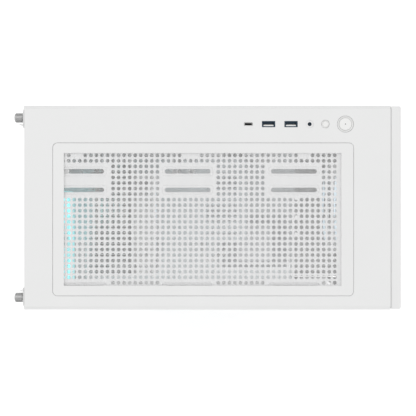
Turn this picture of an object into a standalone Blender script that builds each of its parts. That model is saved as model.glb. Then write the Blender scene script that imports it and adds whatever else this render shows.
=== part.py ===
"""Desktop computer tower, micro-ATX size: outer panels, dust filters, front-top sockets and inner parts.

Metres, +Z up. The origin is on the floor, at the middle of the width, and 4.75 mm behind the middle of the
case's length, which is about the middle of the whole tower with its thumbscrews.
The front bezel faces -Y, the rear panel +Y, the glass side -X and the cable side +X.
Run with: blender --background --python part.py
"""

import math

import bmesh
import bpy
from mathutils import Matrix, Vector

# ---------------------------------------------------------------- driving dimensions
WIDTH = 0.2165
LENGTH = 0.400
HEIGHT = 0.425
FRONT_Y = -0.20475
SHEET = 0.001
GAP = 0.0003
BEZEL_DEPTH = 0.011
FOOT_HEIGHT = 0.015
SKIRT = 0.013
PANEL_FOLD = 0.003

HALF_WIDTH = WIDTH / 2
REAR_Y = FRONT_Y + LENGTH
BODY_FRONT_Y = FRONT_Y + BEZEL_DEPTH + GAP
TOP_HALF = HALF_WIDTH - PANEL_FOLD - 0.00045
CHASSIS_HALF = TOP_HALF - 0.0013
SKIRT_Z = HEIGHT - SKIRT
BASE_Z = FOOT_HEIGHT + GAP
WALL_LOW_Z = BASE_Z + SHEET + GAP
WALL_TOP_Z = SKIRT_Z - GAP
REAR_INNER_Y = REAR_Y - SHEET

# Dust filter in the top panel's recess
FILTER_X = (-0.0935, 0.0686)
FILTER_Y = (-0.1541, 0.1648)
FILTER_BORDER = 0.0112
FILTER_CORNER = 0.005
FILTER_THICK = 0.0025
RECESS_MARGIN = 0.0004
RECESS_FLOOR_Z = HEIGHT - FILTER_THICK - GAP

# Fan slots in the recess floor: three columns along Y, three rows across X
SLOT_Y = (0.1351, 0.0219, -0.0912)
SLOT_X = (0.0386, 0.0188, -0.0848)
SLOT_LENGTH = 0.0487
SLOT_WIDTH = 0.004

# Sockets and buttons along the top, all on one line
IO_X = 0.0885
POWER_Y = -0.1454
RESET_Y = -0.1242
AUDIO_Y = -0.1076
USB_A_Y = (-0.0878, -0.0640)
USB_C_Y = -0.0426
USB_A_SHELL = (0.0060, 0.0135)
USB_C_SHELL = (0.0032, 0.0088)
PORT_WALL = 0.0004
POWER_RADIUS = 0.0066
POWER_RING_RADIUS = 0.0086
RESET_RADIUS = 0.0041
AUDIO_RADIUS = 0.0038
AUDIO_BORE = 0.0018
BUTTON_PROUD = 0.0006
IO_BOARD_Z = 0.4065
IO_BOARD_THICK = 0.0016
IO_BOARD_X = (0.0785, 0.0990)
IO_BOARD_Y = (-0.157, -0.032)
SWITCH_HEIGHT = 0.0040
BUTTON_DEPTH = 0.0045
STEM_RADIUS = 0.0020
TRAVEL_ROOM = 0.0016
PORT_TOP_Z = HEIGHT - 0.0004

# Thumbscrews
SCREW_X = 0.0968
SCREW_Z = (0.4075, 0.036)
SCREW_REACH = 0.0131
SCREW_HEAD_RADIUS = 0.0052
SCREW_SHANK_RADIUS = 0.00175
SCREW_HOLE_RADIUS = 0.00225
FLANGE_IN_X = 0.0848
LIP_X = 0.0884
LIP_REACH = 0.0053
LIP_HALF = 0.012

# Steelwork inside: outlines are (u low, v low, u high, v high)
BASE_VENT = (-0.060, 0.056, 0.066, 0.182)
RAIL_X = (-0.0700, 0.0760)
RAIL_Y = (0.030, 0.192)
RAIL_Z = 0.0085
RAIL_THICK = 0.0012
RAIL_REACH = 0.0030
SLOT_OPENING_X = (-0.044, 0.056)
SLOT_OPENING_HALF = 0.006
TRAY_STEP_Y = -0.025
TRAY_STEP_Z = 0.398
TRAY_WINDOW = (0.060, 0.245, 0.165, 0.365)
TRAY_SIDE_HOLES = ((-0.092, 0.260, -0.068, 0.350), (-0.092, 0.150, -0.068, 0.230),
                   (-0.060, 0.040, 0.030, 0.095))
TRAY_TOP_HOLE = (0.142, 0.3895, 0.188, 0.4065)
SHROUD_HOLE = (0.035, -0.045, 0.065, -0.015)
FOOT_X = (0.080, 0.102)
FOOT_Y = (("front", (-0.178, -0.118)), ("rear", (0.125, 0.185)))
FOOT_CORNER = 0.010
FOOT_EDGE = 0.0012

# Side glass
GLASS_WINDOW = (-0.176, 0.034, 0.172, 0.403)
GLASS_MARGIN = 0.0065
GLASS_THICK = 0.003

# Front cover
BEZEL_HALF = 0.1077
BEZEL_Z = (0.0125, HEIGHT - 0.0005)
BEZEL_CORNER = 0.003
BEZEL_SIDE = 0.010
BEZEL_CHIN = 0.020
BEZEL_BROW = 0.012
BEZEL_WINDOW_CORNER = 0.006
MESH_DEPTH = (0.0012, 0.0022)
PEG_X = 0.090
PEG_Z = (0.050, 0.375)
PEG_RADIUS = 0.0030
PEG_HOLE_RADIUS = 0.0036
PEG_REACH = 0.0115

# Fans
FAN_SIZE = 0.120
FAN_DEPTH = 0.025
FAN_BORE = 0.0575
FAN_SCREW_PITCH = 0.105
FAN_HUB = 0.0200
REAR_FAN_CENTRE = (-0.040, 0.300)
FRONT_FAN_Z = (0.340, 0.2185, 0.097)
BLADES = 7

# Motherboard, graphics card and power supply
TRAY_X = 0.082
TRAY_FRONT_Y = -0.158
BOARD_X = 0.0744
BOARD_THICK = 0.0016
BOARD_SIDE = 0.244
BOARD_REAR_Y = 0.190
BOARD_TOP_Z = 0.385
SOCKET_Y = 0.113
SOCKET_Z = 0.305
SOCKET_HALF = 0.026
SOCKET_X = 0.0705
PROCESSOR_X = (0.0675, 0.0702)
PROCESSOR_HALF = 0.0187
HEATSINK_X = (-0.078, 0.0420)
HEATSINK_HALF = 0.026
COLD_PLATE_X = (0.0400, 0.0672)
COLD_PLATE_HALF = 0.020
BOARD_SCREWS_Y = (0.184, 0.026, -0.046)
BOARD_SCREWS_Z = (0.3805, 0.222, 0.150)
MEMORY_SLOT_Y = (0.046, 0.037, 0.028, 0.019)
MEMORY_SLOT_X = 0.0680
MEMORY_SLOT_HALF = 0.003
MEMORY_SLOT_Z = (0.240, 0.380)
MEMORY_Y = MEMORY_SLOT_Y[1::2]
MEMORY_X = (0.0330, 0.0677)
MEMORY_HALF = 0.0035
MEMORY_Z = (0.2435, 0.3765)
IO_BLOCK_X = 0.0400
IO_BLOCK_Z = (0.232, 0.372)
# What stands on the board, as (how near the glass it reaches, y span, z span)
BOARD_BLOCKS = (
    (0.0660, (0.052, 0.141), (0.2105, 0.2175)),
    (0.0600, (-0.052, -0.042), (0.300, 0.353)),
    (0.0635, (0.1605, 0.1780), (0.3735, 0.3832)),
    (0.0480, (0.085, 0.150), (0.3680, 0.3820)),
    (0.0470, (0.1440, 0.1580), (0.2450, 0.3815)),
)
SLOT_PITCH = 0.02032
FIRST_SLOT_Z = BOARD_TOP_Z - 0.171
SLOT_OFFSET = 0.0045
SLOT_COVER_X = (-0.052, 0.066)
SLOT_COVER_HALF = 0.0091
IO_OPENING_X = (0.0330, 0.0775)
IO_OPENING_Z = (0.2225, 0.3812)
IO_BLOCK_Y = (0.160, 0.1925)
SOCKET_DEPTH = 0.012
USB_REAR = (0.0052, 0.0128)
LAN = (0.0080, 0.0118)
HDMI = (0.0050, 0.0148)
CARD_X = (-0.045, 0.064)
CARD_FRONT_Y = -0.050
CARD_THICK = (0.0008, 0.0026)
CARD_BOTTOM_Z = 0.1765
CARD_FAN_RADIUS = 0.0440
CARD_FAN_DEPTH = 0.014
CARD_FAN_HUB = 0.016
CARD_FAN_Y = (0.114, 0.015)
CARD_SHROUD_REAR_Y = 0.170
CARD_SOCKET_Z = FIRST_SLOT_Z - SLOT_OFFSET
CARD_SOCKET_X = (-0.024, 0.004, 0.032)
CARD_SOCKET = (0.0165, 0.0052)
SHROUD_Z = 0.113
SHROUD_FRONT_Y = -0.122
PSU_X = (-0.072, 0.078)
PSU_Z = (0.0195, 0.1055)
PSU_FRONT_Y = 0.044
PSU_FAN_RADIUS = 0.056
PSU_REAR_SOLID = 0.018
INLET_CENTRE = (0.048, 0.076)
INLET = (0.028, 0.020, 0.016)
SWITCH_CENTRE = (0.018, 0.076)
SWITCH_POCKET = (0.0126, 0.0200, 0.0100)
SWITCH_TILT = math.radians(7)
PSU_FAN_WELL = 0.022
PSU_FAN_DEPTH = 0.018
SSD_X = (-0.085, -0.015)
SSD_Y = (-0.115, -0.015)
SSD_THICK = 0.007
PSU_FILTER_Y = (0.0320, 0.1930)
PSU_FILTER_Z = (0.0101, 0.0131)
PSU_FILTER_RIM = 0.0075
PSU_FILTER_RIB = 0.0060
PSU_FILTER_TAB = ((-0.015, 0.021), (0.1925, 0.2000), (0.0105, 0.0127))

# ---------------------------------------------------------------- materials
FINISHES = {
    "white_steel": ((0.80, 0.80, 0.80), 0.45, 0.0),
    "white_plastic": ((0.82, 0.82, 0.81), 0.40, 0.0),
    "clear_ring": ((0.86, 0.87, 0.86), 0.15, 0.0),
    "mesh_white": ((0.78, 0.79, 0.80), 0.60, 0.0),
    "tinted_glass": ((0.25, 0.28, 0.29), 0.05, 0.0),
    "steel": ((0.55, 0.55, 0.56), 0.30, 1.0),
    "aluminium": ((0.75, 0.76, 0.77), 0.35, 1.0),
    "black_plastic": ((0.03, 0.03, 0.035), 0.45, 0.0),
    "rubber": ((0.06, 0.06, 0.06), 0.80, 0.0),
    "circuit_board": ((0.10, 0.11, 0.12), 0.50, 0.0),
    "fan_plastic": ((0.75, 0.82, 0.83), 0.30, 0.0),
    "white_cable": ((0.78, 0.78, 0.77), 0.70, 0.0),
}


def finish(name):
    """The Principled material of that name, made once."""
    made = bpy.data.materials.get(name)
    if made is not None:
        return made
    colour, roughness, metallic = FINISHES[name]
    made = bpy.data.materials.new(name)
    made.use_nodes = True
    shader = made.node_tree.nodes["Principled BSDF"]
    shader.inputs["Base Color"].default_value = (*colour, 1.0)
    shader.inputs["Roughness"].default_value = roughness
    shader.inputs["Metallic"].default_value = metallic
    made.diffuse_color = (*colour, 1.0)
    return made


# ---------------------------------------------------------------- flat outlines, as lists of (u, v)
def rect(u0, v0, u1, v1):
    return [(u0, v0), (u1, v0), (u1, v1), (u0, v1)]


def round_rect(u0, v0, u1, v1, radius, steps=3):
    corners = ((u1 - radius, v1 - radius), (u0 + radius, v1 - radius),
               (u0 + radius, v0 + radius), (u1 - radius, v0 + radius))
    points = []
    for quarter, (u, v) in enumerate(corners):
        for step in range(steps + 1):
            turn = math.pi / 2 * (quarter + step / steps)
            points.append((u + radius * math.cos(turn), v + radius * math.sin(turn)))
    return points


def circle(u, v, radius, sides=24):
    turns = [2 * math.pi * (side + 0.5) / sides for side in range(sides)]
    return [(u + radius * math.cos(turn), v + radius * math.sin(turn)) for turn in turns]


def long_slot(u, v, width, length):
    """A slot with round ends, long along v."""
    return round_rect(u - width / 2, v - length / 2, u + width / 2, v + length / 2, width / 2 - 1e-5)


# ---------------------------------------------------------------- meshes
# Each plane takes an outline's (u, v) and its height w to world axes.
PLANES = {
    "XY": Matrix(((1, 0, 0), (0, 1, 0), (0, 0, 1))).to_4x4(),
    "XZ": Matrix(((1, 0, 0), (0, 0, 1), (0, 1, 0))).to_4x4(),
    "YZ": Matrix(((0, 0, 1), (1, 0, 0), (0, 1, 0))).to_4x4(),
}
WELD = 1e-6


def mesh_from(bm):
    bmesh.ops.recalc_face_normals(bm, faces=bm.faces)
    if bm.calc_volume(signed=True) < 0:
        bmesh.ops.reverse_faces(bm, faces=bm.faces)
    mesh = bpy.data.meshes.new("solid")
    bm.to_mesh(mesh)
    bm.free()
    return mesh


def about(middle, half):
    """The pair of values at half to each side of middle."""
    return (middle - half, middle + half)


def prism(loops, plane, low, high):
    """An outline, loops[0], with holes, the other loops, extruded from low to high."""
    curve = bpy.data.curves.new("outline", "CURVE")
    curve.dimensions = "2D"
    curve.fill_mode = "BOTH"
    curve.extrude = (high - low) / 2
    for loop in loops:
        spline = curve.splines.new("POLY")
        spline.points.add(len(loop) - 1)
        for point, (u, v) in zip(spline.points, loop):
            point.co = (u, v, 0, 1)
        spline.use_cyclic_u = True
    holder = bpy.data.objects.new("outline", curve)
    flat = bpy.data.meshes.new_from_object(holder)
    bpy.data.objects.remove(holder)
    bpy.data.curves.remove(curve)
    bm = bmesh.new()
    bm.from_mesh(flat)
    bpy.data.meshes.remove(flat)
    bmesh.ops.remove_doubles(bm, verts=bm.verts, dist=WELD)
    bm.transform(PLANES[plane] @ Matrix.Translation((0, 0, (low + high) / 2)))
    return mesh_from(bm)


def block(x, y, z):
    """A box from three (low, high) pairs."""
    bm = bmesh.new()
    bmesh.ops.create_cube(bm, size=1)
    size = Vector([pair[1] - pair[0] for pair in (x, y, z)])
    middle = Vector([(pair[1] + pair[0]) / 2 for pair in (x, y, z)])
    bm.transform(Matrix.Translation(middle) @ Matrix.Diagonal(size).to_4x4())
    return mesh_from(bm)


def turned(profile, sides=24):
    """A solid of revolution about Z from (radius, z) points; a point at radius 0 closes an end."""
    bm = bmesh.new()
    points = [bm.verts.new((radius, 0, z)) for radius, z in profile]
    edges = [bm.edges.new(pair) for pair in zip(points, points[1:])]
    if profile[0][0] > 0 or profile[-1][0] > 0:
        edges.append(bm.edges.new((points[-1], points[0])))
    bmesh.ops.spin(bm, geom=points + edges, cent=(0, 0, 0), axis=(0, 0, 1), angle=2 * math.pi,
                   steps=sides, use_merge=True)
    bmesh.ops.remove_doubles(bm, verts=bm.verts, dist=WELD)
    return mesh_from(bm)


def joined(*meshes):
    """Several meshes that don't touch, as one mesh, for use as a Boolean's tool."""
    bm = bmesh.new()
    for mesh in meshes:
        bm.from_mesh(mesh)
    return mesh_from(bm)


def smooth_tube(points, radius, per_span=4):
    """A closed tube along a Catmull-Rom curve through points, straight at its two ends."""
    line = [points[0]]
    for before, start, stop, after in zip(points, points[1:], points[2:], points[3:]):
        for step in range(per_span):
            t = step / per_span
            line.append(0.5 * (2 * start + (stop - before) * t
                               + (2 * before - 5 * start + 4 * stop - after) * t * t
                               + (3 * start - before - 3 * stop + after) * t ** 3))
    line += points[-2:]
    curve = bpy.data.curves.new("cable", "CURVE")
    curve.dimensions = "3D"
    curve.bevel_depth = radius
    curve.bevel_resolution = 1
    curve.use_fill_caps = True
    spline = curve.splines.new("POLY")
    spline.points.add(len(line) - 1)
    for point, place in zip(spline.points, line):
        point.co = (*place, 1)
    return curve


# ---------------------------------------------------------------- nodes
def node(name, data, look, place=(0, 0, 0), turn=(0, 0, 0), smooth=False):
    obj = bpy.data.objects.new(name, data)
    bpy.context.scene.collection.objects.link(obj)
    obj.location = place
    obj.rotation_euler = turn
    if not data.materials:
        data.materials.append(finish(look))
    if smooth and obj.type == "MESH":
        data.shade_smooth()
        data.set_sharp_from_angle(angle=math.radians(35))
    return obj


def shape_with(obj, tool_mesh, operation, place=(0, 0, 0)):
    """Adds a Boolean modifier whose tool is a hidden object."""
    tool = bpy.data.objects.new(f"{obj.name}_tool", tool_mesh)
    bpy.context.scene.collection.objects.link(tool)
    tool.location = place
    tool.hide_render = True
    tool.display_type = "WIRE"
    modifier = obj.modifiers.new(operation.title(), "BOOLEAN")
    modifier.operation = operation
    modifier.object = tool


def cut(obj, tool_mesh):
    shape_with(obj, tool_mesh, "DIFFERENCE")


def add(obj, tool_mesh):
    shape_with(obj, tool_mesh, "UNION")


def baked(obj):
    """The object's mesh with its Booleans applied. The object and its tools are removed."""
    bpy.context.view_layer.update()
    graph = bpy.context.evaluated_depsgraph_get()
    mesh = bpy.data.meshes.new_from_object(obj.evaluated_get(graph))
    for modifier in obj.modifiers:
        bpy.data.objects.remove(modifier.object)
    bpy.data.objects.remove(obj)
    return mesh


# ---------------------------------------------------------------- chassis
def make_chassis_base():
    outline = rect(-CHASSIS_HALF, BODY_FRONT_Y + GAP, CHASSIS_HALF, REAR_Y)
    sheet = prism([outline, rect(*BASE_VENT)], "XY", BASE_Z, BASE_Z + SHEET)
    base = node("chassis_base", sheet, "white_steel")
    # Two L-shaped rails under the base hold the power supply's filter.
    for side, x in zip((-1, 1), RAIL_X):
        outer = x + side * RAIL_THICK
        wall = block(sorted((x, outer)), RAIL_Y, (RAIL_Z + SHEET, BASE_Z + SHEET / 2))
        ledge = block(sorted((outer, x - side * RAIL_REACH)), RAIL_Y, (RAIL_Z, RAIL_Z + RAIL_THICK))
        add(base, wall)
        add(base, ledge)


def fan_screw_holes(centre, plane_offset=FAN_SCREW_PITCH / 2):
    u, v = centre
    corners = [(u + a * plane_offset, v + b * plane_offset) for a in (-1, 1) for b in (-1, 1)]
    return [circle(cu, cv, 0.0022, 8) for cu, cv in corners]


def slot_openings():
    """The rear panel's four expansion slot openings."""
    return [rect(SLOT_OPENING_X[0], slot_z(slot) - SLOT_OPENING_HALF,
                 SLOT_OPENING_X[1], slot_z(slot) + SLOT_OPENING_HALF) for slot in range(4)]


def slot_z(slot):
    """The height of a slot opening's middle. Slot 0 is the top one."""
    return FIRST_SLOT_Z - SLOT_OFFSET - SLOT_PITCH * slot


def make_rear_panel():
    outline = rect(-CHASSIS_HALF, WALL_LOW_Z, CHASSIS_HALF, WALL_TOP_Z)
    holes = [
        rect(IO_OPENING_X[0], IO_OPENING_Z[0], IO_OPENING_X[1], IO_OPENING_Z[1]),
        circle(*REAR_FAN_CENTRE, FAN_BORE, 32),
        rect(PSU_X[0] + 0.006, PSU_Z[0] + 0.004, PSU_X[1] - 0.006, PSU_Z[1] - 0.004),
    ]
    holes += fan_screw_holes(REAR_FAN_CENTRE)
    holes += slot_openings()
    holes += [circle(side * SCREW_X, z, SCREW_HOLE_RADIUS, 12) for side in (-1, 1) for z in SCREW_Z]
    node("rear_panel", prism([outline, *holes], "XZ", REAR_INNER_Y, REAR_Y), "white_steel")


def make_front_frame():
    outline = rect(-CHASSIS_HALF, WALL_LOW_Z, CHASSIS_HALF, WALL_TOP_Z)
    holes = []
    for z in FRONT_FAN_Z:
        holes.append(circle(0, z, FAN_BORE, 32))
        holes += fan_screw_holes((0, z))
    holes += [circle(x, z, PEG_HOLE_RADIUS, 12) for x, z in front_pegs()]
    low = BODY_FRONT_Y + GAP
    node("front_frame", prism([outline, *holes], "XZ", low, low + SHEET), "white_steel")


def make_motherboard_tray():
    rear = REAR_INNER_Y - GAP
    outline = [(TRAY_FRONT_Y, WALL_LOW_Z), (rear, WALL_LOW_Z), (rear, WALL_TOP_Z),
               (TRAY_STEP_Y, WALL_TOP_Z), (TRAY_STEP_Y, TRAY_STEP_Z), (TRAY_FRONT_Y, TRAY_STEP_Z)]
    holes = [rect(*TRAY_WINDOW), round_rect(*TRAY_TOP_HOLE, 0.004)]
    holes += [round_rect(*hole, 0.006) for hole in TRAY_SIDE_HOLES]
    node("motherboard_tray", prism([outline, *holes], "YZ", TRAY_X, TRAY_X + SHEET), "white_steel")


def make_psu_shroud():
    """A shelf over the power supply with a wall down the glass side."""
    rear = REAR_INNER_Y - GAP
    low_x = -CHASSIS_HALF + GAP
    cable_hole = round_rect(*SHROUD_HOLE, 0.005)
    outline = rect(low_x, SHROUD_FRONT_Y, TRAY_X - GAP, rear)
    shelf = prism([outline, cable_hole], "XY", SHROUD_Z, SHROUD_Z + SHEET)
    shroud = node("psu_shroud", shelf, "white_steel")
    add(shroud, block((low_x, low_x + SHEET), (SHROUD_FRONT_Y, rear), (WALL_LOW_Z, SHROUD_Z + SHEET / 2)))


def make_top_panel():
    """A folded cover: a recess for the filter, fan slots in the recess floor and holes for the sockets."""
    y = (BODY_FRONT_Y, REAR_Y - 0.0002)
    panel = node("top_panel", block((-TOP_HALF, TOP_HALF), y, (SKIRT_Z, HEIGHT)), "white_steel")
    inner_x, inner_y = TOP_HALF - SHEET, (y[0] + SHEET, y[1] - SHEET)
    recess = (FILTER_X[0] - RECESS_MARGIN, FILTER_Y[0] - RECESS_MARGIN,
              FILTER_X[1] + RECESS_MARGIN, FILTER_Y[1] + RECESS_MARGIN)
    corner = FILTER_CORNER + RECESS_MARGIN
    wall = (recess[0] - SHEET, recess[1] - SHEET, recess[2] + SHEET, recess[3] + SHEET)
    cut(panel, block((-inner_x, inner_x), inner_y, (SKIRT_Z - SHEET, RECESS_FLOOR_Z - SHEET)))
    around = [rect(-inner_x, inner_y[0], inner_x, inner_y[1]), round_rect(*wall, corner + SHEET)]
    cut(panel, prism(around, "XY", RECESS_FLOOR_Z - 2 * SHEET, HEIGHT - SHEET))
    cut(panel, prism([round_rect(*recess, corner)], "XY", RECESS_FLOOR_Z, HEIGHT + SHEET))
    fan_slots = [prism([long_slot(x, y_mid, SLOT_WIDTH, SLOT_LENGTH)], "XY", SKIRT_Z, HEIGHT)
                 for x in SLOT_X for y_mid in SLOT_Y]
    clear = GAP
    socket_holes = [turned_hole(IO_X, POWER_Y, POWER_RING_RADIUS + clear),
                    turned_hole(IO_X, RESET_Y, RESET_RADIUS + clear),
                    turned_hole(IO_X, AUDIO_Y, AUDIO_RADIUS + clear),
                    shell_hole(USB_C_Y, USB_C_SHELL, clear)]
    socket_holes += [shell_hole(y_mid, USB_A_SHELL, clear) for y_mid in USB_A_Y]
    cut(panel, joined(*fan_slots, *socket_holes))


def turned_hole(x, y, radius):
    return prism([circle(x, y, radius, 24)], "XY", SKIRT_Z, HEIGHT + SHEET)


def shell_hole(y, shell, clear):
    half_x, half_y = shell[0] / 2 + clear, shell[1] / 2 + clear
    return prism([rect(IO_X - half_x, y - half_y, IO_X + half_x, y + half_y)], "XY", SKIRT_Z, HEIGHT + SHEET)


def make_feet():
    for end, y in FOOT_Y:
        for side, x in (("left", (-FOOT_X[1], -FOOT_X[0])), ("right", FOOT_X)):
            outline = round_rect(x[0], y[0], x[1], y[1], FOOT_CORNER)
            foot = node(f"foot_{end}_{side}", prism([outline], "XY", 0, FOOT_HEIGHT), "rubber", smooth=True)
            taper = foot.modifiers.new("Edge", "BEVEL")
            taper.width = FOOT_EDGE
            taper.segments = 1
            taper.limit_method = "ANGLE"
            taper.angle_limit = math.radians(60)


# ---------------------------------------------------------------- sockets and buttons
def make_io_board():
    board_top = IO_BOARD_Z + IO_BOARD_THICK
    outline = rect(IO_BOARD_X[0], IO_BOARD_Y[0], IO_BOARD_X[1], IO_BOARD_Y[1])
    board = node("io_board", prism([outline], "XY", IO_BOARD_Z, board_top), "circuit_board")
    for y, half in ((POWER_Y, 0.003), (RESET_Y, 0.002)):
        z = (IO_BOARD_Z + SHEET, board_top + SWITCH_HEIGHT)
        switch = block((IO_X - half, IO_X + half), (y - half, y + half), z)
        add(board, switch)


def make_socket(name, y, shell, look):
    """A connector shell, open at the top, standing on the board."""
    half_x, half_y = shell[0] / 2, shell[1] / 2
    low = IO_BOARD_Z + IO_BOARD_THICK + GAP
    shape = block((IO_X - half_x, IO_X + half_x), (y - half_y, y + half_y), (low, PORT_TOP_Z))
    body = node(name, shape, look)
    in_x, in_y = half_x - PORT_WALL, half_y - PORT_WALL
    cut(body, block((IO_X - in_x, IO_X + in_x), (y - in_y, y + in_y), (low + 0.003, PORT_TOP_Z + SHEET)))


def make_audio_jack():
    low = IO_BOARD_Z + IO_BOARD_THICK + GAP - PORT_TOP_Z
    profile = [(0, low), (AUDIO_RADIUS, low), (AUDIO_RADIUS, 0), (AUDIO_BORE, 0), (AUDIO_BORE, low + 0.002),
               (0, low + 0.002)]
    node("audio_jack", turned(profile, 16), "white_plastic", (IO_X, AUDIO_Y, PORT_TOP_Z), smooth=True)


def make_buttons():
    """Each button hangs in its hole, above its switch, and its origin is on its face."""
    lip, bore = POWER_RING_RADIUS, POWER_RADIUS + GAP
    deep = -0.0060
    ring = [(bore, deep), (lip, deep), (lip, 0), (bore, 0)]
    node("power_button_ring", turned(ring, 32), "clear_ring", (IO_X, POWER_Y, HEIGHT), smooth=True)
    switch_top = IO_BOARD_Z + IO_BOARD_THICK + SWITCH_HEIGHT
    for name, y, radius in (("power_button", POWER_Y, POWER_RADIUS), ("reset_button", RESET_Y, RESET_RADIUS)):
        stem_low = switch_top + TRAVEL_ROOM - HEIGHT
        profile = [(0, stem_low), (STEM_RADIUS, stem_low), (STEM_RADIUS, -BUTTON_DEPTH),
                   (radius, -BUTTON_DEPTH), (radius, 0.0), (radius - BUTTON_PROUD, BUTTON_PROUD),
                   (0, BUTTON_PROUD)]
        node(name, turned(profile, 32), "white_plastic", (IO_X, y, HEIGHT), smooth=True)


# ---------------------------------------------------------------- fans
def make_fan_frame(name, centre, look="fan_plastic"):
    """A square frame in the XZ plane, with a motor seat on four struts at its outlet side, +Y."""
    x, y, z = centre
    half = FAN_SIZE / 2
    outline = round_rect(x - half, z - half, x + half, z + half, 0.006)
    loops = [outline, circle(x, z, FAN_BORE, 32), *fan_screw_holes((x, z))]
    low, high = y - FAN_DEPTH / 2, y + FAN_DEPTH / 2
    frame = node(name, prism(loops, "XZ", low, high), look, smooth=True)
    seat = (high - 0.0030, high - 0.0004)
    add(frame, prism([circle(x, z, FAN_HUB, 16)], "XZ", *seat))
    reach, width = FAN_BORE + 0.0012, 0.0016
    strut_y = (high - 0.0027, high - 0.0008)
    add(frame, block((x - reach, x + reach), strut_y, (z - width, z + width)))
    thinner_y = (strut_y[0] + 0.0002, strut_y[1] - 0.0002)
    add(frame, block((x - width, x + width), thinner_y, (z - reach, z + reach)))


def rotor_mesh(hub, tip, depth):
    """A hub with flat pitched blades, turning about Z, from z 0 to depth."""
    wheel = node("rotor_maker", turned([(0, 0), (hub, 0), (hub, depth), (0, depth)], 24), "fan_plastic")
    pitch = math.radians(38)
    chord = depth * 0.78 / math.sin(pitch)
    for blade in range(BLADES):
        bm = bmesh.new()
        bmesh.ops.create_cube(bm, size=1)
        size = Matrix.Diagonal((tip - hub * 0.8, chord, 0.0016, 1))
        lean = Matrix.Rotation(pitch, 4, "X")
        reach = Matrix.Translation(((tip + hub * 0.8) / 2, 0, depth / 2))
        bm.transform(Matrix.Rotation(2 * math.pi * blade / BLADES, 4, "Z") @ reach @ lean @ size)
        add(wheel, mesh_from(bm))
    return baked(wheel)


def make_fans():
    rotor_depth = FAN_DEPTH - 0.0055
    blades = rotor_mesh(FAN_HUB, FAN_BORE - 0.0035, rotor_depth)
    rear_y = REAR_INNER_Y - GAP - FAN_DEPTH / 2
    front_y = BODY_FRONT_Y + 2 * GAP + SHEET + FAN_DEPTH / 2
    cooler_y = SOCKET_Y - 0.039
    places = {
        "rear_fan": (REAR_FAN_CENTRE[0], rear_y, REAR_FAN_CENTRE[1]),
        "front_fan_top": (0, front_y, FRONT_FAN_Z[0]),
        "front_fan_middle": (0, front_y, FRONT_FAN_Z[1]),
        "front_fan_bottom": (0, front_y, FRONT_FAN_Z[2]),
        "cpu_fan": (-0.018, cooler_y, SOCKET_Z),
    }
    for name, (x, y, z) in places.items():
        make_fan_frame(f"{name}_frame", (x, y, z))
        inlet = y - FAN_DEPTH / 2 + 0.0015
        node(f"{name}_rotor", blades, "fan_plastic", (x, inlet, z), (-math.pi / 2, 0, 0), smooth=True)


# ---------------------------------------------------------------- motherboard and what is on it
def rear_sockets():
    """The sockets behind the I/O shield, as (x, z, size along x, size along z)."""
    stacked_usb = [(x, z, *USB_REAR) for z in (0.3540, 0.2960) for x in (0.0690, 0.0605)]
    return [*stacked_usb, (0.0680, 0.3250, *HDMI), (0.0665, 0.2680, *LAN)]


def socket_blocks(y, clear):
    """Solids for the socket openings between two depths, wider all round by clear."""
    return [block((x - a / 2 - clear, x + a / 2 + clear), y, (z - b / 2 - clear, z + b / 2 + clear))
            for x, z, a, b in rear_sockets()]


def make_motherboard():
    """The board with the parts soldered or screwed to it: socket, slots, plugs' headers and heatsinks."""
    low_y, low_z = BOARD_REAR_Y - BOARD_SIDE, BOARD_TOP_Z - BOARD_SIDE
    holes = [circle(y, z, 0.002, 8) for y in BOARD_SCREWS_Y for z in BOARD_SCREWS_Z]
    outline = rect(low_y, low_z, BOARD_REAR_Y, BOARD_TOP_Z)
    sheet = prism([outline, *holes], "YZ", BOARD_X, BOARD_X + BOARD_THICK)
    board = node("motherboard", sheet, "circuit_board")
    into = BOARD_X + BOARD_THICK / 2
    add(board, block((IO_BLOCK_X, into), IO_BLOCK_Y, IO_BLOCK_Z))
    cut(board, joined(*socket_blocks((IO_BLOCK_Y[1] - SOCKET_DEPTH, IO_BLOCK_Y[1] + SHEET), 0)))
    add(board, block((SOCKET_X, into), about(SOCKET_Y, SOCKET_HALF), about(SOCKET_Z, SOCKET_HALF)))
    for y in MEMORY_SLOT_Y:
        add(board, block((MEMORY_SLOT_X, into), about(y, MEMORY_SLOT_HALF), MEMORY_SLOT_Z))
    for x, y, z in BOARD_BLOCKS:
        add(board, block((x, into), y, z))
    lid = block(PROCESSOR_X, about(SOCKET_Y, PROCESSOR_HALF), about(SOCKET_Z, PROCESSOR_HALF))
    node("processor", lid, "aluminium")


def make_io_shield():
    x, z = IO_OPENING_X, IO_OPENING_Z
    outline = rect(x[0] + GAP, z[0] + GAP, x[1] - GAP, z[1] - GAP)
    holes = [rect(sx - a / 2 - GAP, sz - b / 2 - GAP, sx + a / 2 + GAP, sz + b / 2 + GAP)
             for sx, sz, a, b in rear_sockets()]
    node("io_shield", prism([outline, *holes], "XZ", REAR_INNER_Y + 0.0001, REAR_Y - 0.0001), "steel")


def make_cpu_heatsink():
    """A fin stack on a cold plate, clear of the heatsink beside the socket."""
    stack = block(HEATSINK_X, about(SOCKET_Y, HEATSINK_HALF), about(SOCKET_Z, FAN_SIZE / 2))
    sink = node("cpu_heatsink", stack, "aluminium")
    add(sink, block(COLD_PLATE_X, about(SOCKET_Y, COLD_PLATE_HALF), about(SOCKET_Z, COLD_PLATE_HALF)))


def make_memory():
    for number, y in enumerate(MEMORY_Y, 1):
        module = block(MEMORY_X, about(y, MEMORY_HALF), MEMORY_Z)
        node(f"memory_module_{number}", module, "white_plastic")


def make_slot_covers():
    for number in (3, 4):
        z = slot_z(number - 1)
        plate = block(SLOT_COVER_X, cover_depth(), (z - SLOT_COVER_HALF, z + SLOT_COVER_HALF))
        node(f"slot_cover_{number}", plate, "white_steel")


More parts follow.
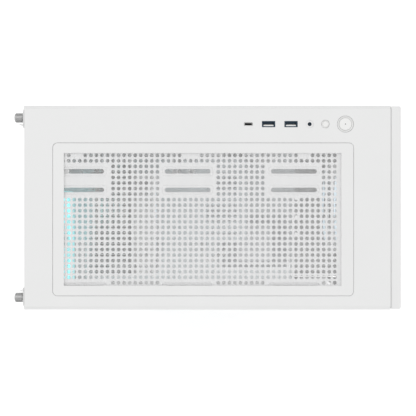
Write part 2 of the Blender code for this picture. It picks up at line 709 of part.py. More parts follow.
def cover_depth():
    """Where slot covers and the card's bracket stand, just inside the rear panel."""
    return (REAR_INNER_Y - GAP - 0.0009, REAR_INNER_Y - GAP)


def make_graphics_card():
    """A two-slot card: board, bracket and sockets in one node, cooler shroud and two rotors under it."""
    bracket_y = cover_depth()
    outline = rect(CARD_X[0], CARD_FRONT_Y, CARD_X[1], bracket_y[1])
    sheet = prism([outline], "XY", FIRST_SLOT_Z - CARD_THICK[0], FIRST_SLOT_Z + CARD_THICK[1])
    board = node("graphics_card_board", sheet, "white_plastic")
    add(board, block(SLOT_COVER_X, bracket_y, (slot_z(1) - SLOT_COVER_HALF, slot_z(0) + SLOT_COVER_HALF)))
    half_x, half_z = CARD_SOCKET[0] / 2, CARD_SOCKET[1] / 2
    rim = 0.0010
    y = (bracket_y[1] - SOCKET_DEPTH - 0.002, bracket_y[1] - 0.0002)
    for x in CARD_SOCKET_X:
        body = block((x - half_x - rim, x + half_x + rim), y, (CARD_SOCKET_Z - half_z - rim, FIRST_SLOT_Z))
        add(board, body)
        cut(board, block((x - half_x, x + half_x), (bracket_y[1] - SOCKET_DEPTH, bracket_y[1] + SHEET),
                         (CARD_SOCKET_Z - half_z, CARD_SOCKET_Z + half_z)))
    shroud_z = (CARD_BOTTOM_Z, FIRST_SLOT_Z - CARD_THICK[0] - GAP)
    shell = block(CARD_X, (CARD_FRONT_Y, CARD_SHROUD_REAR_Y), shroud_z)
    shroud = node("graphics_card_shroud", shell, "white_plastic")
    middle = (CARD_X[0] + CARD_X[1]) / 2
    wells = [prism([circle(middle, fan_y, CARD_FAN_RADIUS, 32)], "XY", CARD_BOTTOM_Z - SHEET,
                   CARD_BOTTOM_Z + CARD_FAN_DEPTH) for fan_y in CARD_FAN_Y]
    cut(shroud, joined(*wells))
    blades = rotor_mesh(CARD_FAN_HUB, CARD_FAN_RADIUS - 0.002, CARD_FAN_DEPTH - 0.003)
    for number, fan_y in enumerate(CARD_FAN_Y, 1):
        node(f"graphics_fan_rotor_{number}", blades, "fan_plastic", (middle, fan_y, CARD_BOTTOM_Z + 0.0015),
             smooth=True)


# ---------------------------------------------------------------- power supply and storage
def make_power_supply():
    """A steel shell, open under its fan, with a solid rear end for the mains inlet and the switch."""
    face = REAR_INNER_Y - GAP
    case = node("power_supply", block(PSU_X, (PSU_FRONT_Y, face), PSU_Z), "white_steel")
    centre = psu_fan_centre()
    cut(case, block((PSU_X[0] + SHEET, PSU_X[1] - SHEET), (PSU_FRONT_Y + SHEET, face - PSU_REAR_SOLID),
                    (PSU_Z[0] + SHEET, PSU_Z[1] - SHEET)))
    cut(case, prism([circle(*centre, PSU_FAN_RADIUS, 32)], "XY", PSU_Z[0] - SHEET,
                    PSU_Z[0] + PSU_FAN_WELL))
    blades = rotor_mesh(FAN_HUB, PSU_FAN_RADIUS - 0.0035, PSU_FAN_DEPTH)
    node("psu_fan_rotor", blades, "black_plastic", (*centre, PSU_Z[0] + 0.0025), smooth=True)
    pockets = []
    for (x, z), (wide, high, deep) in ((INLET_CENTRE, INLET), (SWITCH_CENTRE, SWITCH_POCKET)):
        pockets.append(block(about(x, wide / 2), (face - deep, face + SHEET), about(z, high / 2)))
    cut(case, joined(*pockets))
    half = SWITCH_POCKET[0] / 2 - GAP
    rocker = [(0.0036, 0), (0.0050, 0.0085), (-0.0030, 0.0050), (-0.0030, -0.0050), (0.0050, -0.0085)]
    node("psu_switch", prism([rocker], "YZ", -half, half), "black_plastic",
         (SWITCH_CENTRE[0], face - 0.0042, SWITCH_CENTRE[1]), (SWITCH_TILT, 0, 0))


def psu_fan_centre():
    return (PSU_X[0] + PSU_X[1]) / 2, (PSU_FRONT_Y + REAR_INNER_Y - PSU_REAR_SOLID) / 2


def make_ssd():
    low = SHROUD_Z + SHEET + GAP
    node("ssd", block(SSD_X, SSD_Y, (low, low + SSD_THICK)), "aluminium")


# ---------------------------------------------------------------- outer panels and filters
def front_pegs():
    return [(side * PEG_X, z) for side in (-1, 1) for z in PEG_Z]


def make_front_panel():
    """A bezel around a mesh, with four pegs that snap into the front frame."""
    half, (low, high) = BEZEL_HALF, BEZEL_Z
    back = FRONT_Y + BEZEL_DEPTH
    outline = round_rect(-half, low, half, high, BEZEL_CORNER)
    window = bezel_window(0)
    panel = node("front_panel", prism([outline, window], "XZ", FRONT_Y, back), "white_plastic", smooth=True)
    pegs = [prism([circle(x, z, PEG_RADIUS, 12)], "XZ", back - SHEET, back + PEG_REACH)
            for x, z in front_pegs()]
    add(panel, joined(*pegs))
    for x, z in front_pegs():
        add(panel, block(pad_span(x), (back - 0.003, back - 0.0002), (z - 0.006, z + 0.006)))
    node("front_mesh", prism([bezel_window(GAP)], "XZ", FRONT_Y + MESH_DEPTH[0], FRONT_Y + MESH_DEPTH[1]),
         "mesh_white")


def bezel_window(gap):
    """The bezel's opening, drawn in by gap."""
    side = BEZEL_HALF - BEZEL_SIDE - gap
    low, high = BEZEL_Z[0] + BEZEL_CHIN + gap, BEZEL_Z[1] - BEZEL_BROW - gap
    return round_rect(-side, low, side, high, BEZEL_WINDOW_CORNER)


def pad_span(x):
    """From inside the bezel's side border to just past a peg."""
    side = 1 if x > 0 else -1
    return tuple(sorted((side * 0.0860, side * 0.1000)))


def make_top_filter():
    low = HEIGHT - FILTER_THICK
    outline = (FILTER_X[0], FILTER_Y[0], FILTER_X[1], FILTER_Y[1])
    inner = (FILTER_X[0] + FILTER_BORDER, FILTER_Y[0] + FILTER_BORDER,
             FILTER_X[1] - FILTER_BORDER, FILTER_Y[1] - FILTER_BORDER)
    loops = [round_rect(*outline, FILTER_CORNER), rect(*inner)]
    node("top_filter_frame", prism(loops, "XY", low, HEIGHT), "white_plastic")
    sheet = (inner[0] + GAP, inner[1] + GAP, inner[2] - GAP, inner[3] - GAP)
    node("top_filter_mesh", prism([rect(*sheet)], "XY", low + 0.0004, low + 0.0010), "mesh_white")


def make_psu_filter():
    """A flat tray that slides in the base's rails: a frame over a thin dust mesh, with a pull tab."""
    x = (RAIL_X[0] + 0.0004, RAIL_X[1] - 0.0004)
    y, z = PSU_FILTER_Y, PSU_FILTER_Z
    tray = node("psu_filter", block(x, y, z), "black_plastic")
    rim, rib = PSU_FILTER_RIM, PSU_FILTER_RIB
    middle_x, middle_y = (x[0] + x[1]) / 2, (y[0] + y[1]) / 2
    columns = ((x[0] + rim, middle_x - rib / 2), (middle_x + rib / 2, x[1] - rim))
    rows = ((y[0] + rim, middle_y - rib / 2), (middle_y + rib / 2, y[1] - rim))
    pockets = [block(column, row, (z[0] + 0.0006, z[1] + SHEET)) for column in columns for row in rows]
    cut(tray, joined(*pockets))
    add(tray, block(*PSU_FILTER_TAB))


def side_panel_shell(name, side):
    """A sheet with folded top, bottom and front edges, and a rear flange with screw holes and lips."""
    outer, inner = HALF_WIDTH, HALF_WIDTH - PANEL_FOLD
    z = (BASE_Z, HEIGHT - 0.0005)
    y = (BODY_FRONT_Y, REAR_Y + GAP + SHEET)
    shell = node(name, block(sorted((side * inner, side * outer)), y, z), "white_steel")
    hollow_x = sorted((side * (inner - SHEET), side * (outer - SHEET)))
    cut(shell, block(hollow_x, (y[0] + SHEET, y[1] + SHEET), (z[0] + SHEET, z[1] - SHEET)))
    flange_y = (REAR_Y + GAP, y[1])
    corners = sorted((side * FLANGE_IN_X, side * (outer - SHEET / 2)))
    holes = [circle(side * SCREW_X, screw_z, SCREW_HOLE_RADIUS, 12) for screw_z in SCREW_Z]
    plate = rect(corners[0], z[0] + SHEET / 2, corners[1], z[1] - SHEET / 2)
    add(shell, prism([plate, *holes], "XZ", *flange_y))
    lip_x = sorted((side * LIP_X, side * (LIP_X + SHEET)))
    lip_y = (flange_y[0] + SHEET / 2, flange_y[1] + LIP_REACH)
    lips = [block(lip_x, lip_y, about(screw_z, LIP_HALF)) for screw_z in SCREW_Z]
    add(shell, joined(*lips))
    return shell


def make_side_panels():
    side_panel_shell("right_panel", 1)
    left = side_panel_shell("left_panel_frame", -1)
    u0, v0, u1, v1 = GLASS_WINDOW
    window = round_rect(u0, v0, u1, v1, 0.004)
    cut(left, prism([window], "YZ", -HALF_WIDTH - SHEET, -HALF_WIDTH + 2 * PANEL_FOLD))
    margin = GLASS_MARGIN
    pane = round_rect(u0 - margin, v0 - margin, u1 + margin, v1 + margin, 0.006)
    glass_x = -HALF_WIDTH + SHEET + GAP
    node("side_glass", prism([pane], "YZ", glass_x, glass_x + GLASS_THICK), "tinted_glass")


def make_thumbscrews():
    """Each screw turns about its own axis, along Y; its origin is where its head meets the flange."""
    head, shank = SCREW_HEAD_RADIUS, SCREW_SHANK_RADIUS
    seat = REAR_Y + 2 * GAP + SHEET
    head_length = REAR_Y + SCREW_REACH - seat
    profile = [(0, -0.007), (shank, -0.007), (shank, 0), (head - 0.0006, 0), (head, 0.0006),
               (head, head_length - 0.0008), (head - 0.0008, head_length), (0, head_length)]
    screw = turned(profile, 24)
    for side_name, side in (("left", -1), ("right", 1)):
        for end_name, z in (("top", SCREW_Z[0]), ("bottom", SCREW_Z[1])):
            node(f"thumbscrew_{side_name}_{end_name}", screw, "steel", (side * SCREW_X, seat, z),
                 (-math.pi / 2, 0, 0), smooth=True)


# ---------------------------------------------------------------- cables
def make_cables():
    """Each cable runs whole, from the part that it leaves to its socket."""
    behind_tray = TRAY_X + 0.0115
    routes = {
        "main_power_cable": (0.0048, [
            (0.040, 0.0437, 0.075), (0.040, 0.034, 0.075), (0.054, 0.006, 0.075), (0.078, -0.010, 0.075),
            (behind_tray, -0.030, 0.095), (behind_tray, -0.064, 0.160), (behind_tray, -0.086, 0.240),
            (behind_tray, -0.088, 0.300), (0.084, -0.080, 0.328), (0.066, -0.080, 0.331),
            (0.055, -0.068, 0.328), (0.0550, -0.0600, 0.3265), (0.0550, -0.0525, 0.3265)]),
        "cpu_power_cable": (0.0035, [
            (0.060, 0.0437, 0.050), (0.060, 0.034, 0.050), (0.070, 0.014, 0.054), (0.082, 0.002, 0.062),
            (behind_tray, 0.006, 0.080), (behind_tray, 0.035, 0.130), (behind_tray, 0.110, 0.215),
            (behind_tray, 0.163, 0.310), (behind_tray, 0.166, 0.384), (0.0880, 0.167, 0.3980),
            (0.0775, 0.169, 0.3975), (0.0705, 0.1695, 0.3935), (0.0690, 0.1695, 0.3890),
            (0.0690, 0.1695, 0.3836)]),
        "graphics_power_cable": (0.0035, [
            (0.010, 0.0437, 0.085), (0.010, 0.034, 0.085), (0.028, 0.006, 0.085), (0.044, -0.018, 0.092),
            (0.050, -0.030, 0.104), (0.050, -0.031, 0.120), (0.036, -0.036, 0.131), (-0.010, -0.040, 0.134),
            (-0.050, -0.030, 0.145), (-0.068, -0.008, 0.170), (-0.066, 0.004, 0.193), (-0.0585, 0.006, 0.200),
            (-0.0520, 0.006, 0.200), (-0.0454, 0.006, 0.200)]),
        "front_io_cable": (0.0025, [
            (0.0935, -0.076, IO_BOARD_Z - GAP), (0.0935, -0.076, 0.400), (0.0930, -0.088, 0.370),
            (0.0925, -0.104, 0.320), (0.0925, -0.104, 0.250), (0.0915, -0.092, 0.200), (0.084, -0.080, 0.178),
            (0.074, -0.076, 0.170), (0.0650, -0.068, 0.165), (0.0610, -0.057, 0.161), (0.0620, -0.049, 0.160),
            (0.0670, -0.0445, 0.160), (0.0741, -0.0445, 0.160)]),
    }
    for name, (radius, points) in routes.items():
        node(name, smooth_tube([Vector(point) for point in points], radius), "white_cable")


def main():
    for old in list(bpy.data.objects):
        bpy.data.objects.remove(old)
    make_chassis_base()
    make_rear_panel()
    make_front_frame()
    make_motherboard_tray()
    make_psu_shroud()
    make_top_panel()
    make_feet()
    make_io_board()
    for number, y in enumerate(USB_A_Y, 1):
        make_socket(f"usb_a_port_{number}", y, USB_A_SHELL, "steel")
    make_socket("usb_c_port", USB_C_Y, USB_C_SHELL, "steel")
    make_audio_jack()
    make_buttons()
    make_fans()
    make_motherboard()
    make_io_shield()
    make_cpu_heatsink()
    make_memory()
    make_slot_covers()
    make_graphics_card()
    make_power_supply()
    make_ssd()
    make_front_panel()
    make_top_filter()
    make_psu_filter()
    make_side_panels()
    make_thumbscrews()
    make_cables()


main()
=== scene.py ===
"""Looks of the desktop computer tower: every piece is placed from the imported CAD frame.

Metres, +Z up, front bezel towards -Y, glass side towards -X, cable side towards +X.
A size along an axis is a (low, high) pair.
"""

import math

import bmesh
import bpy
import numpy as np
from mathutils import Matrix, Vector


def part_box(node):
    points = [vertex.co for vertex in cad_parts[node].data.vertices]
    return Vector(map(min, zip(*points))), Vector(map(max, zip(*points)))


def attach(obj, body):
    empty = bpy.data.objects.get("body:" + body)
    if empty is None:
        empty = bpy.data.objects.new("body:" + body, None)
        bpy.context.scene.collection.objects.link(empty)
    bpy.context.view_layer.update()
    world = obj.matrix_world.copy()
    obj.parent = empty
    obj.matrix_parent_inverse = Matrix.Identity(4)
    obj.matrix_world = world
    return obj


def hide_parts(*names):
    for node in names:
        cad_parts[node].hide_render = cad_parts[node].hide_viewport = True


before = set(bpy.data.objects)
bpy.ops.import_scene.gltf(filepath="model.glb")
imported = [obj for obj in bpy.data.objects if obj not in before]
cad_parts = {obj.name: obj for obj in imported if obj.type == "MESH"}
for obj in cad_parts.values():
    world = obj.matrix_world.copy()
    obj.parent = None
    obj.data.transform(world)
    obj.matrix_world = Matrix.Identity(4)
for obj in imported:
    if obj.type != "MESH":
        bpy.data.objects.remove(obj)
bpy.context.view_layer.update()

# ---------------------------------------------------------------- measures taken from the frame


def sides_of(node):
    """A node's box as three (low, high) pairs."""
    return list(zip(*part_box(node)))


def middle_of(node):
    low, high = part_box(node)
    return (low + high) / 2


def half_width(node):
    low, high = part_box(node)
    return (high.x - low.x) / 2


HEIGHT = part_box("top_panel")[1].z
REAR_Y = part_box("rear_panel")[1].y
FRONT_FANS = ("front_fan_top", "front_fan_middle", "front_fan_bottom")
FANS = ("rear_fan", *FRONT_FANS, "cpu_fan")
THUMBSCREWS = [f"thumbscrew_{side}_{end}" for side in ("left", "right") for end in ("top", "bottom")]

# ---------------------------------------------------------------- measures of detail
SHEET = 0.001
GAP = 0.0003
RECESS_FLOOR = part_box("top_filter_frame")[0].z - GAP
RECESS_CORNER = 0.0054
GRID_PITCH = 0.00589
GRID_COLUMNS = 50
GRID_ROWS = 24
GRID_FIRST = (0.0556, 0.1541)
GRID_HOLE = 0.00206
PAD_COLUMNS = ((0, 9), (18, 28), (37, 47))
PAD_ROWS = (2, 8)
MAGNET_COLUMNS = (2, 3, 22, 23, 24, 43, 44)
SLOT_Y = (0.1351, 0.0219, -0.0912)
SLOT_X = (0.0386, 0.0188, -0.0848)
SLOT_LENGTH = 0.0487
SLOT_WIDTH = 0.0048
POCKET_WIDTH = 0.0108
POCKET_END = 0.0032
POCKET_DEPTH = 0.0009
POCKET_SLOPE = 0.0011
POCKET_CORNER = 0.0036
RAIL_X = (-0.0885, -0.0772)
RAIL_DROP = 0.003
REAR_TAB = ((0.0209, 0.064), (0.1485, 0.194))
LIP_X = 0.0884
LIP_REACH = 0.0053
GLASS_WINDOW = ((-0.176, 0.172), (0.034, 0.403))
THREAD_PITCH = 0.00098
THREAD_WIDTH = 0.00012
FAN_BORE = 0.0575
FAN_SCREW = 0.0525
SHANK_HOLE = 0.00225
PEG_PLACES = [(x, z) for x in (-0.09, 0.09) for z in (0.05, 0.375)]
CLIP_HEIGHTS = (0.16, 0.28)
CARD_SLOT_PITCH = 0.02032
BOARD_FACE = 0.0744
BOARD_THICKNESS = 0.0016
BOARD_SIDES = ((-0.054, 0.19), (0.141, 0.385))
BOARD_SCREWS = [(y, z) for y in (0.184, 0.026, -0.046) for z in (0.3805, 0.222, 0.15)]
PROCESSOR = (0.113, 0.305)
CORNERS = [(a, b) for a in (-1, 1) for b in (-1, 1)]

# ---------------------------------------------------------------- materials


def fill_in(tree, node, sockets):
    """Gives each socket its value, or links it when the value is another node's output."""
    for socket, value in sockets.items():
        if isinstance(value, bpy.types.NodeSocket):
            tree.links.new(value, node.inputs[socket])
        else:
            node.inputs[socket].default_value = value


def output(tree, kind, name, sockets, **settings):
    """The named or numbered output of a new node."""
    node = tree.nodes.new(f"ShaderNode{kind}")
    for setting, value in settings.items():
        setattr(node, setting, value)
    fill_in(tree, node, sockets)
    return node.outputs[name]


def noise(tree, place, size, detail=2.0, stretch=(1, 1, 1)):
    """A noise whose features are about size metres across, drawn out along an axis by stretch."""
    scale = [1 / (size * part) for part in stretch]
    mapped = output(tree, "Mapping", "Vector", {"Vector": place, "Scale": scale})
    return output(tree, "TexNoise", "Fac", {"Vector": mapped, "Scale": 1.0, "Detail": detail})


def remap(tree, source, low, high, from_low=0.35, from_high=0.65):
    return output(tree, "MapRange", "Result", {"Value": source, "From Min": from_low, "From Max": from_high,
                                               "To Min": low, "To Max": high})


def tinted(tree, factor, dark, light):
    sockets = {"A": (*dark, 1), "B": (*light, 1), "Factor": factor}
    return output(tree, "Mix", "Result", sockets, data_type="RGBA")


def bump(tree, height, depth):
    return output(tree, "Bump", "Normal", {"Height": height, "Distance": depth})


def material(name, colour, roughness, metallic=0.0, grain=0.0, grain_size=0.0005, mottle=0.015,
             stretch=(1, 1, 1), sockets=None):
    """Principled, with a bump of the given depth, roughness that varies and a faint change of tint."""
    made = bpy.data.materials.new(name)
    made.use_nodes = True
    made.diffuse_color = (*colour, 1)
    tree = made.node_tree
    place = output(tree, "TexCoord", "Object", {})
    broad = noise(tree, place, 0.045, 3.0)
    dark, light = [[min(1, part * (1 + way * mottle)) for part in colour] for way in (-1, 1)]
    looks = {"Metallic": metallic, "Base Color": tinted(tree, broad, dark, light),
             "Roughness": remap(tree, broad, roughness * 0.88, roughness * 1.12), **(sockets or {})}
    if grain:
        looks["Normal"] = bump(tree, noise(tree, place, grain_size, 2.0, stretch), grain)
    fill_in(tree, tree.nodes["Principled BSDF"], looks)
    return made


def lit(strength, colour=(1, 1, 1)):
    return {"Emission Color": (*colour, 1), "Emission Strength": strength}


def glowing(name, colour, strength):
    return material(name, colour, 0.35, sockets=lit(strength, colour))


def powder(name, colour):
    return material(name, colour, 0.5, grain=0.00003, grain_size=0.0007)


def satin(name, colour):
    return material(name, colour, 0.36, grain=0.00001, grain_size=0.0003)


def brushed(name, colour, roughness, size=0.0002, stretch=(1, 14, 1)):
    return material(name, colour, roughness, 1.0, 0.00001, size, stretch=stretch)


def circuit(name, base, trace):
    """Solder mask with faint traces: the borders between the cells of a blocky pattern."""
    made = material(name, base, 0.38, grain=0.00002)
    tree = made.node_tree
    place = output(tree, "TexCoord", "Object", {})
    mapped = output(tree, "Mapping", "Vector", {"Vector": place, "Scale": (150, 150, 150)})
    cells = output(tree, "TexVoronoi", "Distance", {"Vector": mapped, "Scale": 1.0}, distance="MANHATTAN",
                   feature="F2")
    wave = output(tree, "Math", 0, {0: cells, 1: 0.1}, operation="PINGPONG")
    lines = remap(tree, wave, 0.0, 1.0, 0.045, 0.065)
    fill_in(tree, tree.nodes["Principled BSDF"], {"Base Color": tinted(tree, lines, base, trace)})
    return made


def woven(name, colour):
    """A braided sleeve: two crossed sets of strands."""
    made = material(name, colour, 0.75, sockets={"Sheen Weight": 0.3})
    tree = made.node_tree
    place = output(tree, "TexCoord", "Object", {})
    strands = []
    for turn in (math.radians(45), math.radians(-45)):
        mapped = output(tree, "Mapping", "Vector", {"Vector": place, "Rotation": (turn, turn, turn)})
        strands.append(output(tree, "TexWave", "Fac", {"Vector": mapped, "Scale": 450}))
    over = output(tree, "Math", 0, {0: strands[0], 1: strands[1]}, operation="MAXIMUM")
    fill_in(tree, tree.nodes["Principled BSDF"], {"Normal": bump(tree, over, 0.0003)})
    return made


POWDER = powder("white_powder_coat", (0.775, 0.777, 0.775))
# Painted light: the white powder coat of the inside, tinted blue as if lit by the fans' light.
PAINTED_BLUE_LIGHT_POWDER = powder("white_powder_coat_painted_blue_light", (0.752, 0.786, 0.8))
# Painted shade: the deck's white powder coat, made darker for the recess floor under the dust filter.
PAINTED_SHADE_POWDER = powder("recess_powder_coat_painted_shade", (0.625, 0.627, 0.63))
PLASTIC = satin("white_satin_plastic", (0.775, 0.776, 0.774))
# Painted light: white satin plastic of the inside, lighter and tinted blue as if lit by the fans' light.
PAINTED_BLUE_LIGHT_PLASTIC = satin("white_satin_plastic_painted_blue_light", (0.805, 0.865, 0.89))
BUTTON = material("white_button_plastic", (0.81, 0.81, 0.802), 0.28, grain=0.00001, grain_size=0.0004)
RING = material("frosted_ring", (0.74, 0.742, 0.735), 0.3)
# Painted light: the white filter threads glow faintly, standing in for light passing through the mesh.
PAINTED_GLOW_THREAD = material("white_mesh_thread_painted_glow", (0.82, 0.82, 0.82), 0.6, grain=0.00001, grain_size=0.0002,
                  sockets=lit(0.36))
BLACK = material("black_moulded_plastic", (0.022, 0.023, 0.026), 0.48, grain=0.00002)
MATT_BLACK = material("matt_black_well", (0.006, 0.006, 0.007), 0.9, sockets={"Specular IOR Level": 0.1})
NAVY = material("dark_blue_insulator", (0.02, 0.05, 0.085), 0.4)
TONGUE = material("white_insulator", (0.86, 0.86, 0.85), 0.35)
RUBBER = material("grey_rubber", (0.075, 0.075, 0.077), 0.8, grain=0.00006, grain_size=0.0008)
NICKEL = brushed("nickel_plate", (0.66, 0.65, 0.63), 0.24)
SCREW_METAL = brushed("dark_nickel_plate", (0.48, 0.48, 0.48), 0.36)
STEEL = brushed("bright_steel", (0.58, 0.58, 0.59), 0.28, stretch=(12, 1, 1))
ALUMINIUM = brushed("brushed_aluminium", (0.8, 0.81, 0.82), 0.33, 0.0003, (1, 20, 1))
GREY_METAL = material("grey_anodised_aluminium", (0.3, 0.31, 0.33), 0.45, 0.6, 0.00001, 0.0004)
SATIN_SILVER = material("silver_heatsink", (0.66, 0.67, 0.69), 0.42, 1.0, 0.00002, 0.0004)
COPPER = material("nickelled_copper", (0.72, 0.66, 0.6), 0.22, 1.0)
GOLD = material("gold_contact", (0.83, 0.61, 0.25), 0.25, 1.0)
PCB = circuit("silver_circuit_board", (0.46, 0.47, 0.49), (0.58, 0.59, 0.61))
SLEEVE = woven("white_braided_sleeve", (0.74, 0.74, 0.73))
GLOW = glowing("cyan_light_ring", (0.17, 0.75, 0.78), 1.0)
LIT_BLADE = glowing("lit_fan_blades", (0.17, 0.68, 0.7), 0.6)
LIT_FRAME = glowing("lit_fan_frame", (0.22, 0.7, 0.72), 0.48)
SOFT_GLOW = glowing("white_light_ring", (0.7, 0.88, 1.0), 0.5)
BLADE = material("white_fan_blades", (0.72, 0.73, 0.73), 0.34, grain=0.00001)
DARK_BLADE = material("black_fan_blades", (0.03, 0.031, 0.034), 0.4, grain=0.00001)
DOT = material("power_light_window", (0.16, 0.16, 0.16), 0.25)
GLASS = material("tinted_glass", (0.03, 0.036, 0.04), 0.03, mottle=0.0, sockets={"Alpha": 0.18})
JACK_COLOURS = [material(f"{name}_jack", colour, 0.4) for name, colour in
                (("pink", (0.62, 0.22, 0.3)), ("green", (0.2, 0.48, 0.2)), ("blue", (0.2, 0.35, 0.62)))]

# ---------------------------------------------------------------- spans and outlines


def about(middle, half):
    return middle - half, middle + half


def inset(span, by):
    return span[0] + by, span[1] - by


def row_of(count, start, pitch, size):
    """Spans of one size, a pitch apart."""
    return [(start + number * pitch, start + number * pitch + size) for number in range(count)]


def rect(u, v, by=0.0):
    (u0, u1), (v0, v1) = inset(u, by), inset(v, by)
    return [(u0, v0), (u1, v0), (u1, v1), (u0, v1)]


def round_rect(u, v, radius, by=0.0, steps=5):
    (u0, u1), (v0, v1) = inset(inset(u, by), radius), inset(inset(v, by), radius)
    points = []
    for quarter, (middle_u, middle_v) in enumerate(((u1, v1), (u0, v1), (u0, v0), (u1, v0))):
        for step in range(steps + 1):
            turn = math.pi / 2 * (quarter + step / steps)
            points.append((middle_u + radius * math.cos(turn), middle_v + radius * math.sin(turn)))
    return points


def circle(u, v, radius, sides=48):
    turns = [2 * math.pi * (side + 0.5) / sides for side in range(sides)]
    return [(u + radius * math.cos(turn), v + radius * math.sin(turn)) for turn in turns]


def long_slot(u, v, width, length):
    """A slot with round ends, long along v."""
    return round_rect(about(u, width / 2), about(v, length / 2), width / 2 - 1e-5)


def ring_profile(inner, outer, low, high):
    """The closed (radius, height) profile of a ring."""
    return [(inner, low), (outer, low), (outer, high), (inner, high), (inner, low)]


def area_of(loop):
    return sum(a[0] * b[1] - b[0] * a[1] for a, b in zip(loop, loop[1:] + loop[:1])) / 2


# ---------------------------------------------------------------- meshes
PLANES = {
    "XY": Matrix(((1, 0, 0), (0, 1, 0), (0, 0, 1))).to_4x4(),
    "XZ": Matrix(((1, 0, 0), (0, 0, 1), (0, 1, 0))).to_4x4(),
    "YZ": Matrix(((0, 0, 1), (1, 0, 0), (0, 1, 0))).to_4x4(),
}
AXES = {
    "Z": Matrix.Identity(4),
    "-Z": Matrix.Rotation(math.pi, 4, "X"),
    "Y": Matrix.Rotation(-math.pi / 2, 4, "X"),
    "-Y": Matrix.Rotation(math.pi / 2, 4, "X"),
    "-X": Matrix.Rotation(-math.pi / 2, 4, "Y"),
}


def laid(mesh, plane, height=0.0):
    """Takes a mesh drawn in (u, v, w) to a world plane; XZ is a mirror, so its faces are turned back."""
    mesh.transform(PLANES[plane] @ Matrix.Translation((0, 0, height)))
    if plane == "XZ":
        mesh.flip_normals()
    return mesh


def posed(place, axis="Z", turn=0.0):
    """Takes what is drawn about +Z to a place, turned about its own axis, which then points along axis."""
    return Matrix.Translation(place) @ AXES[axis] @ Matrix.Rotation(turn, 4, "Z")


def line_curve(name, lines, dimensions="3D", closed=False):
    curve = bpy.data.curves.new(name, "CURVE")
    curve.dimensions = dimensions
    for line in lines:
        spline = curve.splines.new("POLY")
        spline.points.add(len(line) - 1)
        for point, place in zip(spline.points, line):
            point.co = (*place, 1)
        spline.use_cyclic_u = closed
    return curve


def mesh_of(curve):
    holder = bpy.data.objects.new("outline", curve)
    mesh = bpy.data.meshes.new_from_object(holder)
    bpy.data.objects.remove(holder)
    bpy.data.curves.remove(curve)
    return mesh


def emptied(bm):
    mesh = bpy.data.meshes.new("part")
    bm.to_mesh(mesh)
    bm.free()
    return mesh


def mesh_from(points, faces):
    mesh = bpy.data.meshes.new("part")
    mesh.from_pydata(points.reshape(-1, 3).tolist(), [], faces.reshape(-1, 4).tolist())
    return mesh


def plate(loops, plane, low, high, edge=0.0, steps=2):
    """An outline, loops[0], with holes, extruded from low to high, its edges rounded by edge."""
    lines = []
    for number, loop in enumerate(loops):
        turned_right = (area_of(loop) > 0) == (number == 0)
        lines.append([(u, v, 0) for u, v in (loop if turned_right else loop[::-1])])
    curve = line_curve("outline", lines, "2D", closed=True)
    curve.fill_mode = "BOTH"
    curve.extrude = (high - low) / 2 - edge
    curve.bevel_depth = edge
    curve.bevel_resolution = steps
    curve.offset = -edge
    return laid(mesh_of(curve), plane, (low + high) / 2)


def block(x, y, z, edge=0.0, steps=2):
    """A box from three spans, its edges rounded by edge."""
    low, high = [Vector(corner) for corner in zip(x, y, z)]
    bm = bmesh.new()
    bmesh.ops.create_cube(bm, size=1)
    bm.transform(Matrix.Translation((low + high) / 2) @ Matrix.Diagonal(high - low).to_4x4())
    if edge:
        bmesh.ops.bevel(bm, geom=bm.edges, offset=edge, segments=steps, profile=0.5, affect="EDGES",
                        clamp_overlap=True)
    return emptied(bm)


def blocks(boxes):
    """One mesh of many plain boxes, each from three spans."""
    corners = np.array([(a, b, c) for c in (0, 1) for b in (0, 1) for a in (0, 1)])
    sides = np.array([(0, 2, 3, 1), (4, 5, 7, 6), (0, 1, 5, 4), (2, 6, 7, 3), (0, 4, 6, 2), (1, 3, 7, 5)])
    boxes = np.array(boxes, float)
    faces = sides[None] + 8 * np.arange(len(boxes))[:, None, None]
    return mesh_from(boxes[:, None, [0, 1, 2], corners], faces)


def sloped_rim(upper, lower, high, low, thick):
    """A band of sheet that slopes from one outline at height high to a matching one at height low."""
    bm = bmesh.new()
    loops = [(upper, high), (lower, low), (lower, low - thick), (upper, high - thick)]
    rings = [[bm.verts.new((u, v, w)) for u, v in loop] for loop, w in loops]
    for ring, following in zip(rings, rings[1:] + rings[:1]):
        for number in range(len(ring)):
            after = (number + 1) % len(ring)
            bm.faces.new((ring[number], following[number], following[after], ring[after]))
    bmesh.ops.recalc_face_normals(bm, faces=bm.faces)
    return emptied(bm)


def ring_cells(centres, outer, inner, plane, low, high):
    """A small plate round each centre, with a hole: outer and inner are matching rings of offsets."""
    sides, centres = len(outer), np.array(centres)
    rings = [(outer, high), (inner, high), (inner, low), (outer, low)]
    template = np.concatenate([np.column_stack((ring, np.full(sides, w))) for ring, w in rings])
    points = template[None] + np.column_stack((centres, np.zeros(len(centres))))[:, None]
    quads = []
    for start in (0, sides, 2 * sides):
        for side in range(sides):
            after = (side + 1) % sides
            quads.append((start + side, start + after, start + sides + after, start + sides + side))
    faces = np.array(quads)[None] + 4 * sides * np.arange(len(centres))[:, None, None]
    return laid(mesh_from(points, faces), plane)


def honeycomb(u, v, pitch, web, plane, low, high, inside=None):
    """Hexagonal holes in a plate between u and v, only where inside(u, v) holds, if it is given."""
    rise = pitch * math.sqrt(3) / 2
    reach = pitch / math.sqrt(3)
    columns = int((u[1] - u[0] - pitch / 2) / pitch)
    rows = int((v[1] - v[0] - 2 * reach) / rise) + 1
    start_u = (u[0] + u[1] - (columns - 0.5) * pitch) / 2
    start_v = (v[0] + v[1] - (rows - 1) * rise) / 2
    centres = [(start_u + (column + 0.5 * (row % 2)) * pitch, start_v + row * rise)
               for row in range(rows) for column in range(columns)]
    centres = [centre for centre in centres if inside is None or inside(*centre)]
    turns = [math.radians(60 * side + 30) for side in range(6)]
    hexagon = np.array([(math.cos(turn), math.sin(turn)) for turn in turns])
    return ring_cells(centres, hexagon * reach, hexagon * (pitch - web) / math.sqrt(3), plane, low, high)


